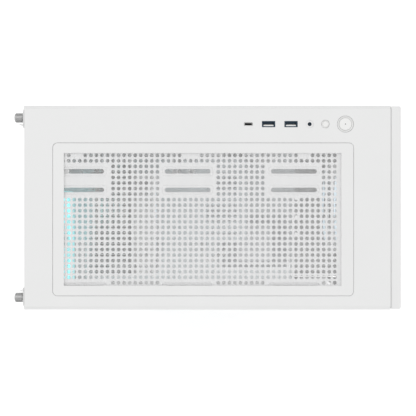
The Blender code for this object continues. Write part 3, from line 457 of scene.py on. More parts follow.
def turned(profile, sides=48, place=(0, 0, 0), axis="Z"):
    """A solid of revolution about its axis from (radius, height) points."""
    bm = bmesh.new()
    points = [bm.verts.new((radius, 0, height)) for radius, height in profile]
    edges = [bm.edges.new(pair) for pair in zip(points, points[1:])]
    bmesh.ops.spin(bm, geom=points + edges, cent=(0, 0, 0), axis=(0, 0, 1), angle=2 * math.pi,
                   steps=sides, use_merge=True)
    bmesh.ops.remove_doubles(bm, verts=bm.verts, dist=1e-6)
    bmesh.ops.recalc_face_normals(bm, faces=bm.faces)
    bm.transform(posed(place, axis))
    return emptied(bm)


def bar_curve(name, points, radius, rounding=4, closed=False):
    """A round bar along points."""
    curve = line_curve(name, [points], closed=closed)
    curve.bevel_depth = radius
    curve.bevel_resolution = rounding
    curve.use_fill_caps = True
    return curve


def tube(*bar):
    return mesh_of(bar_curve("bar", *bar))


def smooth_line(points, per_span=8):
    """Catmull-Rom through the points, with the first and last stretches straight."""
    points = [Vector(point) for point in points]
    line = [points[0]]
    for before, start, stop, after in zip(points, points[1:], points[2:], points[3:]):
        for step in range(per_span):
            t = step / per_span
            line.append(0.5 * (2 * start + (stop - before) * t
                               + (2 * before - 5 * start + 4 * stop - after) * t * t
                               + (3 * start - before - 3 * stop + after) * t ** 3))
    return line + points[-2:]


# ---------------------------------------------------------------- pieces
class Piece:
    """Gathers meshes, each with its material, into one named object that rides on a body."""

    def __init__(self, name):
        self.name = name
        self.bm = bmesh.new()
        self.materials = []

    def put(self, mesh, look, at=None):
        if look not in self.materials:
            self.materials.append(look)
        if at is not None:
            mesh.transform(at)
        before = len(self.bm.faces)
        self.bm.from_mesh(mesh)
        bpy.data.meshes.remove(mesh)
        self.bm.faces.ensure_lookup_table()
        for face in self.bm.faces[before:]:
            face.material_index = self.materials.index(look)

    def ride(self, body, slot, *nodes, angle=35):
        mesh = emptied(self.bm)
        for look in self.materials:
            mesh.materials.append(look)
        mesh.shade_smooth()
        mesh.set_sharp_from_angle(angle=math.radians(angle))
        shown(self.name, mesh, body, slot, *nodes)


def placed(name, data):
    obj = bpy.data.objects.new(name, data)
    bpy.context.scene.collection.objects.link(obj)
    return obj


def shown(name, data, body, slot, *nodes):
    obj = placed(name, data)
    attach(obj, body)
    if nodes:
        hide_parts(*nodes)
    return obj


def carried(node, look):
    """A CAD node that stays, with a better material."""
    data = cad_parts[node].data
    data.materials.clear()
    data.materials.append(look)


def screw_head(piece, place, axis, radius):
    """A pan head with a shadow line round its middle."""
    profile = [(0, 0.0008), (radius * 0.3, 0.0008), (radius * 0.34, 0.0013), (radius * 0.8, 0.0012),
               (radius, 0.0006), (radius, 0)]
    piece.put(turned(profile, 24, place, axis), STEEL)


def add_vent(piece, u, v, plane, level, pitch, web, look, lap=0.0015, border=0.0035):
    """Honeycomb in an opening of the sheet that ends at level, with a plain border over its cut cells."""
    skin = 0.00005
    bottom = level - SHEET
    cells = honeycomb(inset(u, -lap), inset(v, -lap), pitch, web, plane, bottom + 2 * skin, level - 2 * skin)
    piece.put(cells, look)
    piece.put(plate([rect(u, v), rect(u, v, border)], plane, bottom + skin, level - skin), look)


# ---------------------------------------------------------------- top cover
def make_top_cover():
    """A folded cover with an opening for each socket, and a sunk floor under the dust filter."""
    cover = Piece("top_cover")
    x, y, z = sides_of("top_panel")
    recess = [inset(span, -0.0004) for span in sides_of("top_filter_frame")[:2]]
    deck = [round_rect(inset(x, -0.0004), y, 0.0008), round_rect(*recess, RECESS_CORNER), *socket_openings()]
    cover.put(plate(deck, "XY", HEIGHT - SHEET, HEIGHT, 0.0001), POWDER)
    cover.put(plate([rect(x, y), rect(x, y, SHEET)], "XY", z[0], HEIGHT - 0.0005), POWDER)
    wall = [round_rect(*recess, RECESS_CORNER - by, by) for by in (-SHEET, GAP)]
    cover.put(plate(wall, "XY", RECESS_FLOOR - SHEET, HEIGHT - 0.0008), POWDER)
    add_recess_floor(cover, recess)
    cover.ride("chassis", "white_steel", "top_panel")


def socket_openings():
    openings = []
    for node, corner in (("usb_a_port_1", 0.0004), ("usb_a_port_2", 0.0004), ("usb_c_port", 0.0014)):
        openings.append(round_rect(*sides_of(node)[:2], corner, -GAP, 3))
    for node in ("power_button_ring", "reset_button", "audio_jack"):
        openings.append(circle(*middle_of(node).xy, half_width(node) + GAP * 0.8))
    return openings


def add_recess_floor(cover, recess):
    """The perforated floor: a grid of round holes, and stamped pockets, each with a fan slot."""
    # The floor, its pockets and their slopes take the darker copy of the deck's coat: painted shade under the
    # filter.
    lap = SHEET / 2
    below = RECESS_FLOOR - POCKET_DEPTH
    holes = [circle(x, y, GRID_HOLE, 16) for x, y in grid_centres()]
    for x in SLOT_X:
        for y in SLOT_Y:
            upper, lower = pocket_outline(x, y, 0), pocket_outline(x, y, POCKET_SLOPE)
            holes.append(upper)
            cover.put(sloped_rim(upper, lower, RECESS_FLOOR, below, SHEET), PAINTED_SHADE_POWDER)
            slot = long_slot(x, y, SLOT_WIDTH, SLOT_LENGTH)
            cover.put(plate([lower, slot], "XY", below - SHEET, below), PAINTED_SHADE_POWDER)
    outline = round_rect(*recess, RECESS_CORNER + lap, -lap)
    cover.put(plate([outline, *holes], "XY", RECESS_FLOOR - SHEET, RECESS_FLOOR), PAINTED_SHADE_POWDER)


def grid_centres():
    """The perforation's places, which leave out the pads round the slots and the magnets."""
    return [(GRID_FIRST[0] - GRID_PITCH * row, GRID_FIRST[1] - GRID_PITCH * column)
            for row in range(GRID_ROWS) for column in range(GRID_COLUMNS) if perforated(row, column)]


def perforated(row, column):
    at_magnet = row == 0 and column in MAGNET_COLUMNS
    pad_row = PAD_ROWS[0] <= row < PAD_ROWS[1] or row == GRID_ROWS - 1
    in_pad = pad_row and any(first <= column < last for first, last in PAD_COLUMNS)
    return not (at_magnet or in_pad)


def pocket_outline(x, y, by):
    width, length = about(x, POCKET_WIDTH / 2), about(y, SLOT_LENGTH / 2 + POCKET_END)
    return round_rect(width, length, POCKET_CORNER - by, by, 6)


def make_top_rail():
    """Chassis rail under the recess on the glass side, notched at the front, and a tab of the rear wall."""
    top = RECESS_FLOOR - SHEET - RAIL_DROP
    length = (-0.188, REAR_Y - 0.004)
    front, rear = length
    notch, tab = (-0.0848, -0.1262), (-0.0743, -0.0985)
    outline = [(RAIL_X[0], front), (notch[0], front), notch, (tab[0], notch[1]), tab, (RAIL_X[1], tab[1]),
               (RAIL_X[1], rear), (RAIL_X[0], rear)]
    rail = Piece("top_rail")
    rail.put(plate([outline], "XY", top - SHEET, top, 0.0002), POWDER)
    rail.put(block((RAIL_X[0], RAIL_X[0] + SHEET), length, (top - 0.009, top - 0.0002), 0.0002), POWDER)
    rail.put(plate([rect(*REAR_TAB)], "XY", top - SHEET, top, 0.0002), POWDER)
    rail.ride("chassis", "white_steel")


# ---------------------------------------------------------------- top dust filter
def make_top_filter():
    """A frame whose border is wider at the ends than along the sides, with two layers of threads."""
    x, y, z = sides_of("top_filter_frame")
    window = inset(x, 0.0108), (y[0] + 0.013, y[1] - 0.0119)
    rim = Piece("dust_filter_frame")
    rim.put(plate([round_rect(x, y, 0.005, steps=8), rect(*window)], "XY", *z, 0.0009, 3), PLASTIC)
    rim.ride("top_filter", "white_plastic", "top_filter_frame")
    held = [inset(span, -0.0008) for span in window]
    threads = Piece("dust_filter_threads")
    # The threads glow faintly: painted light.
    threads.put(crossed_threads(*held, z[0] + 0.0007, THREAD_PITCH, THREAD_WIDTH), PAINTED_GLOW_THREAD)
    threads.ride("top_filter", "mesh_white", "top_filter_mesh")


def runs(span, pitch, width):
    """The (low, high) pair of each thread across a span that they fill."""
    count = int((span[1] - span[0]) / pitch) + 1
    return [(start, min(stop, span[1])) for start, stop in row_of(count, span[0], pitch, width)]


def crossed_threads(x, y, level, pitch, width):
    """Two layers of straight threads, the second on the first."""
    thick = width * 0.45
    lower = [(run, y, (level, level + thick)) for run in runs(x, pitch, width)]
    upper = [(x, run, (level + thick, level + 2 * thick)) for run in runs(y, pitch, width)]
    return blocks(lower + upper)


# ---------------------------------------------------------------- sockets and buttons
def make_usb_a(number):
    node = f"usb_a_port_{number}"
    x, y, z = sides_of(node)
    middle = middle_of(node)
    wall, liner, floor = 0.0002, 0.0008, z[1] - 0.0044
    socket = Piece(f"usb_a_socket_{number}")
    socket.put(plate([round_rect(x, y, 0.0004, steps=3), rect(x, y, wall)], "XY", *z), NAVY)
    socket.put(block(inset(x, wall), inset(y, wall), (floor - 0.0008, floor)), NAVY)
    socket.put(plate([rect(x, y, wall), rect(x, y, liner)], "XY", floor, z[1] - 0.0001), NAVY)
    tongue = middle.x - 0.0022, middle.x - 0.0006
    socket.put(block(tongue, about(middle.y, 0.0054), (floor, z[1] - 0.0009), 0.0003), TONGUE)
    depth = (floor + 0.0005, z[1] - 0.002)
    contacts = [((tongue[1], tongue[1] + 0.00015), about(middle.y + step, 0.0005), depth)
                for step in (-0.0035, -0.0012, 0.0012, 0.0035)]
    socket.put(blocks(contacts), GOLD)
    socket.ride("chassis", "steel", node)


def make_usb_c():
    x, y, (low, high) = sides_of("usb_c_port")
    middle = middle_of("usb_c_port")
    outer = round_rect(x, y, 0.00155, steps=6)
    inner = round_rect(inset(x, 0.0004), inset(y, 0.0003), 0.00115, steps=6)
    liner = round_rect(inset(x, 0.0005), inset(y, 0.0004), 0.00105, steps=6)
    floor = low + 0.002
    socket = Piece("usb_c_socket")
    socket.put(plate([outer, inner], "XY", low, high, 0.0001), PLASTIC)
    socket.put(plate([inner], "XY", low + 0.001, floor), MATT_BLACK)
    socket.put(plate([inner, liner], "XY", floor, high - 0.0005), MATT_BLACK)
    tongue = about(middle.x, 0.00035), about(middle.y, 0.0033), (floor, high - 0.003)
    socket.put(block(*tongue, 0.00015), MATT_BLACK)
    socket.ride("chassis", "steel", "usb_c_port")


def make_audio_jack():
    low, high = sides_of("audio_jack")[2]
    middle = middle_of("audio_jack")
    radius, bore, step = half_width("audio_jack"), 0.00195, 0.0001
    rim, mouth = radius + 2 * step, (bore + step, high - 0.0005)
    body = [(radius, low), (radius, high - 0.001), (rim, high - 0.001), (rim, high - step),
            (rim - step, high), (bore + 2 * step, high), mouth]
    well = [mouth, (bore, high - 0.001), (bore, high - 0.003), (0, high - 0.003)]
    jack = Piece("headset_jack")
    for profile, look in ((body, PLASTIC), (well, NAVY)):
        jack.put(turned(profile, 32, (middle.x, middle.y, 0)), look)
    jack.ride("chassis", "white_plastic", "audio_jack")


def make_io_board():
    carried("io_board", PCB)
    x, y, z = [span[0] for span in sides_of("io_board")]
    top, below = z + BOARD_THICKNESS, z - 0.0001
    parts = Piece("io_board_parts")
    for span in row_of(9, y + 0.008, 0.013, 0.0036):
        parts.put(block((x + 0.0012, x + 0.0032), span, (top, top + 0.0012), 0.0002), BLACK)
    parts.put(block((x + 0.011, x + 0.019), (-0.083, -0.069), (below - 0.0002, below), 0.0001), BLACK)
    parts.ride("chassis", "circuit_board")


def button_measures(node):
    """Its place on the deck, its radius, the depth of its stem and how far it stands proud."""
    middle = middle_of(node)
    low, high = sides_of(node)[2]
    return (middle.x, middle.y, HEIGHT), half_width(node), low - HEIGHT, high - HEIGHT


def hidden_part(radius, stem):
    """The start of a button's profile: its stem and the underside of its cap."""
    return [(0, stem), (0.002, stem), (0.002, -0.0045), (radius, -0.0045)]


def make_power_button():
    place, radius, stem, proud = button_measures("power_button")
    dome = [(radius * share, proud - 0.00025 * share ** 2) for share in (0.92, 0.8, 0.6, 0.4, 0.2, 0.09)]
    cap = [*hidden_part(radius, stem), (radius, -0.0003), (radius - 0.0002, 0), *dome]
    power = Piece("power_button_cap")
    power.put(turned(cap, 64, place), BUTTON)
    power.put(turned([(0.0006, proud), (0.0005, proud - 0.0002), (0, proud - 0.0002)], 16, place), DOT)
    power.ride("power_button", "white_plastic", "power_button")
    _, outer, foot, _ = button_measures("power_button_ring")
    bore = radius + GAP * 0.6
    ring = Piece("power_button_light_ring")
    ring.put(turned([(bore, foot), (bore, -0.0006), (bore + 0.0003, -0.0004), (outer - 0.0004, -0.0001),
                     (outer, -0.0004), (outer, foot), (bore, foot)], 64, place), RING)
    ring.ride("chassis", "clear_ring", "power_button_ring")


def make_reset_button():
    place, radius, stem, proud = button_measures("reset_button")
    face = radius * 0.72
    cap = [*hidden_part(radius, stem), (radius, -0.0004), (radius - 0.0003, -0.0001),
           (face + 0.0004, -0.0002), (face + 0.0001, -0.0005), (face, proud - 0.0003),
           (face - 0.0004, proud), (face * 0.5, proud - 0.0001), (0, proud - 0.00015)]
    reset = Piece("reset_button_cap")
    reset.put(turned(cap, 48, place), BUTTON)
    reset.ride("reset_button", "white_plastic", "reset_button")


# ---------------------------------------------------------------- fans
def blade(hub, tip, start, depth, chord_turn):
    """One swept fan blade about Z: wider and more swept towards the tip, cambered, closed all round."""
    thickness, across, along = 0.0011, 7, 6
    bm = bmesh.new()

    def vertex(row, column, offset):
        share, t = row / along, column / across
        radius = hub + (tip - hub) * share
        turn = start + 0.42 * share ** 1.4 + chord_turn * (1 - 0.22 * share) * (t - 0.5)
        height = depth * (0.06 + 0.88 * t ** 1.15 - 0.1 * math.sin(math.pi * t)) + offset
        return bm.verts.new((radius * math.cos(turn), radius * math.sin(turn), height))

    top, bottom = [[[vertex(row, column, offset) for column in range(across + 1)] for row in range(along + 1)]
                   for offset in (thickness / 2, -thickness / 2)]
    for row in range(along):
        for column in range(across):
            ring = [(row, column), (row, column + 1), (row + 1, column + 1), (row + 1, column)]
            bm.faces.new([top[a][b] for a, b in ring])
            bm.faces.new([bottom[a][b] for a, b in reversed(ring)])
    rim = ([(0, column) for column in range(across)] + [(row, across) for row in range(along)]
           + [(along, column) for column in range(across, 0, -1)] + [(row, 0) for row in range(along, 0, -1)])
    for (a, b), (c, d) in zip(rim, rim[1:] + rim[:1]):
        bm.faces.new([top[a][b], bottom[a][b], bottom[c][d], top[c][d]])
    bmesh.ops.recalc_face_normals(bm, faces=bm.faces)
    return emptied(bm)


def make_rotor(node, axis, blades, look, hub_share=0.36, badge=PLASTIC):
    """A rotor in its node's box: a cupped hub with a rounded nose, and swept blades round it."""
    along = "XYZ".index(axis)
    low, high = sides_of(node)[along]
    base, depth = middle_of(node), high - low
    base[along] = low
    place = posed(base, axis)
    radius = half_width(node)
    hub = radius * hub_share
    rotor = Piece(f"{node}_blades")
    profile = [(0, 0.0002), (hub * 0.8, 0.0002), (hub * 0.94, 0.0007), (hub, 0.0022), (hub, depth - 0.001),
               (hub - 0.0015, depth - 0.001), (hub - 0.0015, 0.004), (0, 0.004)]
    rotor.put(turned(profile), look, place)
    rotor.put(turned([(hub * 0.66, 0.0003), (hub * 0.64, 0), (0, 0)]), badge, place)
    for number in range(blades):
        turn = 2 * math.pi * number / blades
        rotor.put(blade(hub - 0.0004, radius - 0.0006, turn, depth - 0.0012, 0.8 * 7 / blades), look, place)
    rotor.ride(node, "fan_plastic", node, angle=50)


def fan_corners(fan):
    middle = middle_of(f"{fan}_frame")
    return [(middle.x + a * FAN_SCREW, middle.z + b * FAN_SCREW) for a, b in CORNERS]


def make_fan_frame(fan):
    """A square frame: two flanges, the duct between, corner posts, struts to the motor and a light ring."""
    front, back = sides_of(f"{fan}_frame")[1]
    middle, half, depth = middle_of(f"{fan}_frame"), half_width(f"{fan}_frame"), back - front
    axle = (middle.x, front, middle.z)
    flange, hole, pad, hub = 0.0034, 0.0022, 0.0008, 0.0205
    look, ring_look = (LIT_FRAME, GLOW) if fan == "rear_fan" else (PLASTIC, SOFT_GLOW)
    shape = Piece(f"{fan}_housing")
    loops = [round_rect(about(middle.x, half), about(middle.z, half), 0.0065),
             circle(middle.x, middle.z, FAN_BORE, 72), *[circle(u, v, hole, 20) for u, v in fan_corners(fan)]]
    for ends in ((front, front + flange), (back - flange, back)):
        shape.put(plate(loops, "XZ", *ends, 0.0005), look)
    shape.put(turned(ring_profile(FAN_BORE, FAN_BORE + 0.0017, 0.001, depth - 0.001), 72, axle, "Y"), look)
    for (a, b), (u, v) in zip(CORNERS, fan_corners(fan)):
        shape.put(turned(ring_profile(hole, 0.0042, flange, depth - flange), 20, (u, front, v), "Y"), PLASTIC)
        square = round_rect(about(u, 0.006), about(v, 0.006), 0.003)
        outline = square if a == b else circle(u, v, 0.0058, 24)
        for low in (front + flange, back - flange - pad):
            shape.put(plate([outline, circle(u, v, 0.0026, 20)], "XZ", low, low + pad), RUBBER)
    motor = [(0, depth - 0.0032), (hub - 0.0008, depth - 0.0032), (hub, depth - 0.0028),
             (hub, depth - 0.0004), (hub - 0.0006, depth), (0, depth)]
    shape.put(turned(motor, 48, axle, "Y"), PLASTIC)
    strut = (hub * 0.9, FAN_BORE + 0.0006), about(0, 0.0016), (depth - 0.003, depth - 0.0004)
    for number in range(4):
        shape.put(block(*strut, 0.0007), PLASTIC, posed(axle, "Y", math.radians(90 * number + 22)))
    shape.ride("chassis", "fan_plastic", f"{fan}_frame")
    lights = Piece(f"{fan}_light_ring")
    for low in (0.0035, depth - 0.006):
        ring = ring_profile(FAN_BORE - 0.0004, FAN_BORE + 0.0006, low, low + 0.0025)
        lights.put(turned(ring, 72, axle, "Y"), ring_look)
    lights.ride("chassis", "fan_plastic")


def make_fans():
    for fan in FANS:
        make_fan_frame(fan)
        make_rotor(f"{fan}_rotor", "Y", 7, LIT_BLADE if fan == "rear_fan" else BLADE)
    for number in (1, 2):
        make_rotor(f"graphics_fan_rotor_{number}", "Z", 9, PLASTIC, 0.38, SATIN_SILVER)
    make_rotor("psu_fan_rotor", "Z", 7, DARK_BLADE, 0.38, SATIN_SILVER)


# ---------------------------------------------------------------- outer panels
def make_side_panel(side, name, body, node):
    """A sheet with its edges folded in, a flange behind the case and two lips beside the thumbscrews."""
    x, y, z = sides_of(node)
    outer = max(abs(x[0]), abs(x[1]))
    length = y[0], REAR_Y + GAP
    rear = REAR_Y + GAP + SHEET

    def across(near, far):
        """Distances from the middle of the case, on the panel's side of it."""
        return sorted((side * near, side * far))

    panel = Piece(name)
    outline = round_rect(length, z, 0.0008, steps=2)
    window = [round_rect(*GLASS_WINDOW, 0.004)] if side < 0 else []
    panel.put(plate([outline, *window], "YZ", *across(outer - SHEET, outer), 0.0001), POWDER)
    inner = rect((y[0] + SHEET, REAR_Y - SHEET), inset(z, SHEET))
    panel.put(plate([outline, inner], "YZ", *across(outer - 0.003, outer - SHEET)), POWDER)
    spots = [middle_of(screw) for screw in THUMBSCREWS if name.split("_")[0] in screw]
    bottom, top, near, edge, cut = z[0] + 0.0005, z[1] - 0.0003, 0.0848, outer - 0.0005, (0.0053, 0.007)
    flange = [(near, bottom), (edge - cut[0], bottom), (edge, bottom + cut[1]), (edge, top - cut[1]),
              (edge - cut[0], top), (near, top)]
    loops = [[(side * u, v) for u, v in flange], *[circle(spot.x, spot.z, SHANK_HOLE, 24) for spot in spots]]
    panel.put(plate(loops, "XZ", REAR_Y + GAP, rear, 0.0001), POWDER)
    lips = [(across(LIP_X, LIP_X + SHEET), (length[1] + 0.0005, rear + LIP_REACH), about(spot.z, 0.012))
            for spot in spots]
    hooks = [(across(outer - 0.003, outer - 0.001), (y[0] + 0.0015, y[0] + 0.012), about(height, 0.008))
             for height in (z[0] + 0.05, (z[0] + z[1]) / 2, z[1] - 0.05)]
    for box in lips + hooks:
        panel.put(block(*box, 0.0003), POWDER)
    panel.ride(body, "white_steel", node)


def make_glass():
    x, y, z = sides_of("side_glass")
    outline = round_rect(y, z, 0.006)
    pane = Piece("side_glass_pane")
    pane.put(plate([outline], "YZ", *x, 0.0005), GLASS)
    pane.ride("left_side_panel", "tinted_glass", "side_glass")
    gasket = Piece("glass_gasket")
    inner = round_rect(*GLASS_WINDOW, 0.003, 0.0015)
    gasket.put(plate([outline, inner], "YZ", x[1] - 0.0002, x[1] + 0.0004, 0.0002), BLACK)
    gasket.ride("left_side_panel", "tinted_glass")


def make_front_cover():
    """A deep frame with pegs and pads behind it, and a honeycomb sheet in its window."""
    x, y, z = sides_of("front_panel")
    back = -0.19375
    window = round_rect(inset(x, 0.01), (z[0] + 0.02, z[1] - 0.012), 0.006, steps=8)
    bezel = Piece("front_bezel")
    bezel.put(plate([round_rect(inset(x, -0.0004), z, 0.0035, steps=8), window], "XZ", y[0], back, 0.0019, 4),
              PLASTIC)
    peg = [(0.003, 0), (0.003, 0.0088), (0.0026, 0.01), (0.0018, 0.0114), (0, 0.0114)]
    for u, v in PEG_PLACES:
        pad = sorted((math.copysign(0.0865, u), math.copysign(0.0995, u)))
        bezel.put(block(pad, (back - 0.003, back - 0.0003), about(v, 0.006), 0.0004), PLASTIC)
        bezel.put(turned(peg, 24, (u, back - 0.001, v), "Y"), PLASTIC)
    for v in CLIP_HEIGHTS:
        for u in (-0.095, 0.095):
            clip = about(u, 0.0015), (back - 0.0022, back - 0.0008), about(v, 0.02)
            bezel.put(block(*clip, 0.0004), PLASTIC)
    bezel.ride("front_cover", "white_plastic", "front_panel")
    x, y, z = sides_of("front_mesh")
    mesh = Piece("front_mesh_sheet")
    mesh.put(honeycomb(inset(x, -0.001), inset(z, -0.001), 0.0041, 0.0013, "XZ", *y,
                       lambda u, v: x[0] < u < x[1] and z[0] < v < z[1]), POWDER)
    rim = [round_rect(x, z, 0.006, steps=8), round_rect(x, z, 0.004, 0.004, 8)]
    mesh.put(plate(rim, "XZ", y[0] - 0.0001, y[1] + 0.0001), POWDER)
    mesh.ride("front_cover", "mesh_white", "front_mesh")


def make_thumbscrew(node):
    """A captive screw: a knurled head, a collar, a cross recess and its shank."""
    middle = middle_of(node)
    seat = REAR_Y + 2 * GAP + SHEET
    length, radius = sides_of(node)[1][1] - seat, half_width(node)
    collar, neck, grip = radius * 0.8, radius * 0.68, radius * 0.9
    at = (middle.x, seat, middle.z)
    screw = Piece(f"{node}_head")
    body = [(0, -0.007), (0.001, -0.007), (0.00175, -0.0062), (0.00175, 0), (collar, 0),
            (collar, 0.0014), (neck, 0.0017), (neck, 0.0027), (grip, 0.0031), (grip, length - 0.0009),
            (collar, length - 0.0002), (radius * 0.62, length), (radius * 0.55, length - 0.0004),
            (0, length - 0.0004)]
    screw.put(turned(body, 48, at, "Y"), SCREW_METAL)
    teeth = 30
    ridge = (grip - 0.0003, radius - 0.00005), about(0, 0.00026), (0.0032, length - 0.0011)
    for number in range(teeth):
        screw.put(block(*ridge, 0.00012, 1), SCREW_METAL, posed(at, "Y", 2 * math.pi * number / teeth))
    for turn in (0, math.pi / 2):
        bar = block(about(0, radius * 0.42), about(0, 0.0005), (length - 0.0005, length - 0.0002))
        screw.put(bar, BLACK, posed(at, "Y", turn))
    screw.ride(node, "steel", node)


# ---------------------------------------------------------------- chassis
def make_rear():
    x, y, z = sides_of("rear_panel")
    power_x, _, power_z = sides_of("power_supply")
    fan = middle_of("rear_fan_frame")
    holes = [rect((0.033, 0.0775), (0.2225, 0.3812)), circle(fan.x, fan.z, FAN_BORE, 72),
             rect(inset(power_x, 0.006), inset(power_z, 0.004))]
    holes += [rect((-0.044, 0.056), about(slot_z(slot), 0.006)) for slot in range(4)]
    holes += [circle(*middle_of(node).xz, SHANK_HOLE, 24) for node in THUMBSCREWS]
    rear = Piece("rear_wall")
    rear.put(plate([round_rect(x, z, 0.0006, steps=2), *holes], "XZ", *y, 0.0003), POWDER)
    rear.put(honeycomb(about(fan.x, 0.064), about(fan.z, 0.064), 0.0064, 0.0014, "XZ", *inset(y, 0.00015),
                       lambda u, v: math.hypot(u - fan.x, v - fan.z) < FAN_BORE + 0.00275), POWDER)
    rear.ride("chassis", "white_steel", "rear_panel")
    spots = [(*spot, 0.0036) for spot in fan_corners("rear_fan")]
    spots += [(0.0615, slot_z(slot), 0.0028) for slot in range(4)]
    left, right = inset(power_x, 0.003)
    low, high = power_z
    spots += [(u, v, 0.0029) for u, v in ((left, low + 0.0022), (right, low + 0.0022), (left, high + 0.001),
                                          (right, high - 0.0012))]
    screws = Piece("rear_screws")
    for u, v, radius in spots:
        screw_head(screws, (u, y[1], v), "Y", radius)
    screws.ride("chassis", "steel")


def slot_z(slot):
    """The height of a card slot's middle, counted from the top one."""
    return middle_of("slot_cover_3").z + CARD_SLOT_PITCH * (2 - slot)


def bracket_slits(z, corner):
    return [round_rect(about(x, 0.0014), z, corner) for x in np.arange(-0.0395, 0.053, 0.0052)]


def make_slot_covers():
    for number in (3, 4):
        x, y, z = sides_of(f"slot_cover_{number}")
        cover = Piece(f"slot_cover_plate_{number}")
        slits = bracket_slits(about((z[0] + z[1]) / 2, 0.0042), 0.00138)
        cover.put(plate([round_rect(x, z, 0.002), *slits], "XZ", *y, 0.0002), POWDER)
        cover.ride("chassis", "white_steel", f"slot_cover_{number}")


def make_io_shield():
    x, y, z = sides_of("io_shield")
    jacks = [(u, 0.2415) for u in (0.069, 0.056, 0.043)]
    holes = [rect(about(u, wide / 2), about(v, tall / 2), -GAP) for u, v, wide, tall in rear_sockets()]
    holes += [circle(*spot, 0.0038, 32) for spot in jacks]
    holes += [round_rect(about(0.0385 + 0.004 * column, 0.0011), about(0.262 + 0.016 * row, 0.0055), 0.001)
              for column in range(4) for row in range(6)]
    outline = round_rect(x, z, 0.0012)
    shield = Piece("io_shield_plate")
    shield.put(plate([outline, *holes], "XZ", *y, 0.0002), BLACK)
    rim = [outline, round_rect(x, z, 0.001, 0.0018)]
    shield.put(plate(rim, "XZ", y[1] - 0.0002, y[1] + 0.0008, 0.0004), STEEL)
    shield.ride("chassis", "steel", "io_shield")
    jack = [(0.0018, -0.012), (0.0018, -0.0004), (0.0022, 0), (0.0031, 0), (0.0034, -0.0004),
            (0.0034, -0.012), (0.0018, -0.012)]
    plugs = Piece("rear_audio_jacks")
    for (u, v), look in zip(jacks, JACK_COLOURS):
        plugs.put(turned(jack, 32, (u, y[1] + 0.0003, v), "Y"), look)
    plugs.ride("chassis", "circuit_board")


def rear_sockets():
    """The sockets behind the I/O shield, as (x, z, size along x, size along z)."""
    usb = [(x, z, 0.0052, 0.0128) for z in (0.354, 0.296) for x in (0.069, 0.0605)]
    return [*usb, (0.068, 0.325, 0.005, 0.0148), (0.0665, 0.268, 0.008, 0.0118)]


def make_front_frame():
    x, y, z = sides_of("front_frame")
    corners = [spot for fan in FRONT_FANS for spot in fan_corners(fan)]
    holes = [circle(*middle_of(f"{fan}_frame").xz, FAN_BORE, 72) for fan in FRONT_FANS]
    holes += [long_slot(*spot, 0.0044, 0.007) for spot in corners]
    holes += [circle(*spot, 0.0036, 24) for spot in PEG_PLACES]
    holes += [round_rect(about(u, 0.005), about(v, 0.02), 0.004)
              for u in (-0.078, 0.078) for v in CLIP_HEIGHTS]
    wall = Piece("front_wall")
    wall.put(plate([round_rect(x, z, 0.0006, steps=2), *holes], "XZ", *y, 0.0003), POWDER)
    wall.ride("chassis", "white_steel", "front_frame")
    screws = Piece("front_fan_screws")
    for u, v in corners:
        screw_head(screws, (u, y[0], v), "-Y", 0.004)
    screws.ride("chassis", "steel")


def make_tray():
    """The sheet behind the board, with cable holes, tie slits and two grommets."""
    x, y, z = sides_of("motherboard_tray")
    step_y, step_z = -0.025, 0.398
    outline = [(y[0], z[0]), (y[1], z[0]), (y[1], z[1]), (step_y, z[1]), (step_y, step_z), (y[0], step_z)]
    grommets = [((-0.092, -0.068), (0.26, 0.35)), ((-0.092, -0.068), (0.15, 0.23))]
    behind_processor, by_corner = ((0.06, 0.165), (0.245, 0.365)), ((0.142, 0.188), (0.3895, 0.4065))
    for_supply = (-0.06, 0.03), (0.04, 0.095)
    holes = [round_rect(*hole, 0.004) for hole in (behind_processor, by_corner)]
    holes += [round_rect(*hole, 0.006) for hole in (for_supply, *grommets)]
    holes += [round_rect(about(u, 0.0015), about(v, 0.006), 0.0014)
              for u in (-0.14, -0.12) for v in (0.1, 0.17, 0.24, 0.31, 0.37)]
    tray = Piece("tray_sheet")
    # The tray's coat carries painted blue light from the fans.
    tray.put(plate([outline, *holes], "YZ", *x, 0.0003), PAINTED_BLUE_LIGHT_POWDER)
    tray.ride("chassis", "white_steel", "motherboard_tray")
    seals = Piece("tray_grommets")
    for hole in grommets:
        loops = [round_rect(*hole, 0.008, -0.002), round_rect(*hole, 0.0045, 0.0015)]
        seals.put(plate(loops, "YZ", *inset(x, -0.0014), 0.0006), RUBBER)
    seals.ride("chassis", "rubber")


def make_shroud():
    """The shelf over the power supply, with a vent, a grommet and a slotted wall."""
    x, y, z = sides_of("psu_shroud")
    top = z[1]
    hole = about(0.05, 0.015), about(-0.03, 0.015)
    vent = (-0.07, 0.07), (0.06, 0.17)
    shelf = Piece("power_supply_shroud")
    loops = [rect(x, y), round_rect(*hole, 0.005), rect(*vent)]
    # The shroud's coat carries painted blue light from the fans.
    shelf.put(plate(loops, "XY", top - SHEET, top, 0.0003), PAINTED_BLUE_LIGHT_POWDER)
    add_vent(shelf, *vent, "XY", top, 0.006, 0.0016, PAINTED_BLUE_LIGHT_POWDER)
    slots = [round_rect(about(u, 0.022), (0.08, 0.083), 0.0014) for u in (-0.09, -0.036, 0.018)]
    wall = rect(y, (z[0], top - 0.0004))
    shelf.put(plate([wall, *slots], "YZ", x[0], x[0] + SHEET, 0.0003), PAINTED_BLUE_LIGHT_POWDER)
    shelf.ride("chassis", "white_steel", "psu_shroud")
    seal = Piece("shroud_grommet")
    loops = [round_rect(*hole, 0.007, -0.002), round_rect(*hole, 0.004, 0.0015)]
    seal.put(plate(loops, "XY", top - 0.0024, top + 0.0012, 0.0006), RUBBER)
    seal.ride("chassis", "rubber")


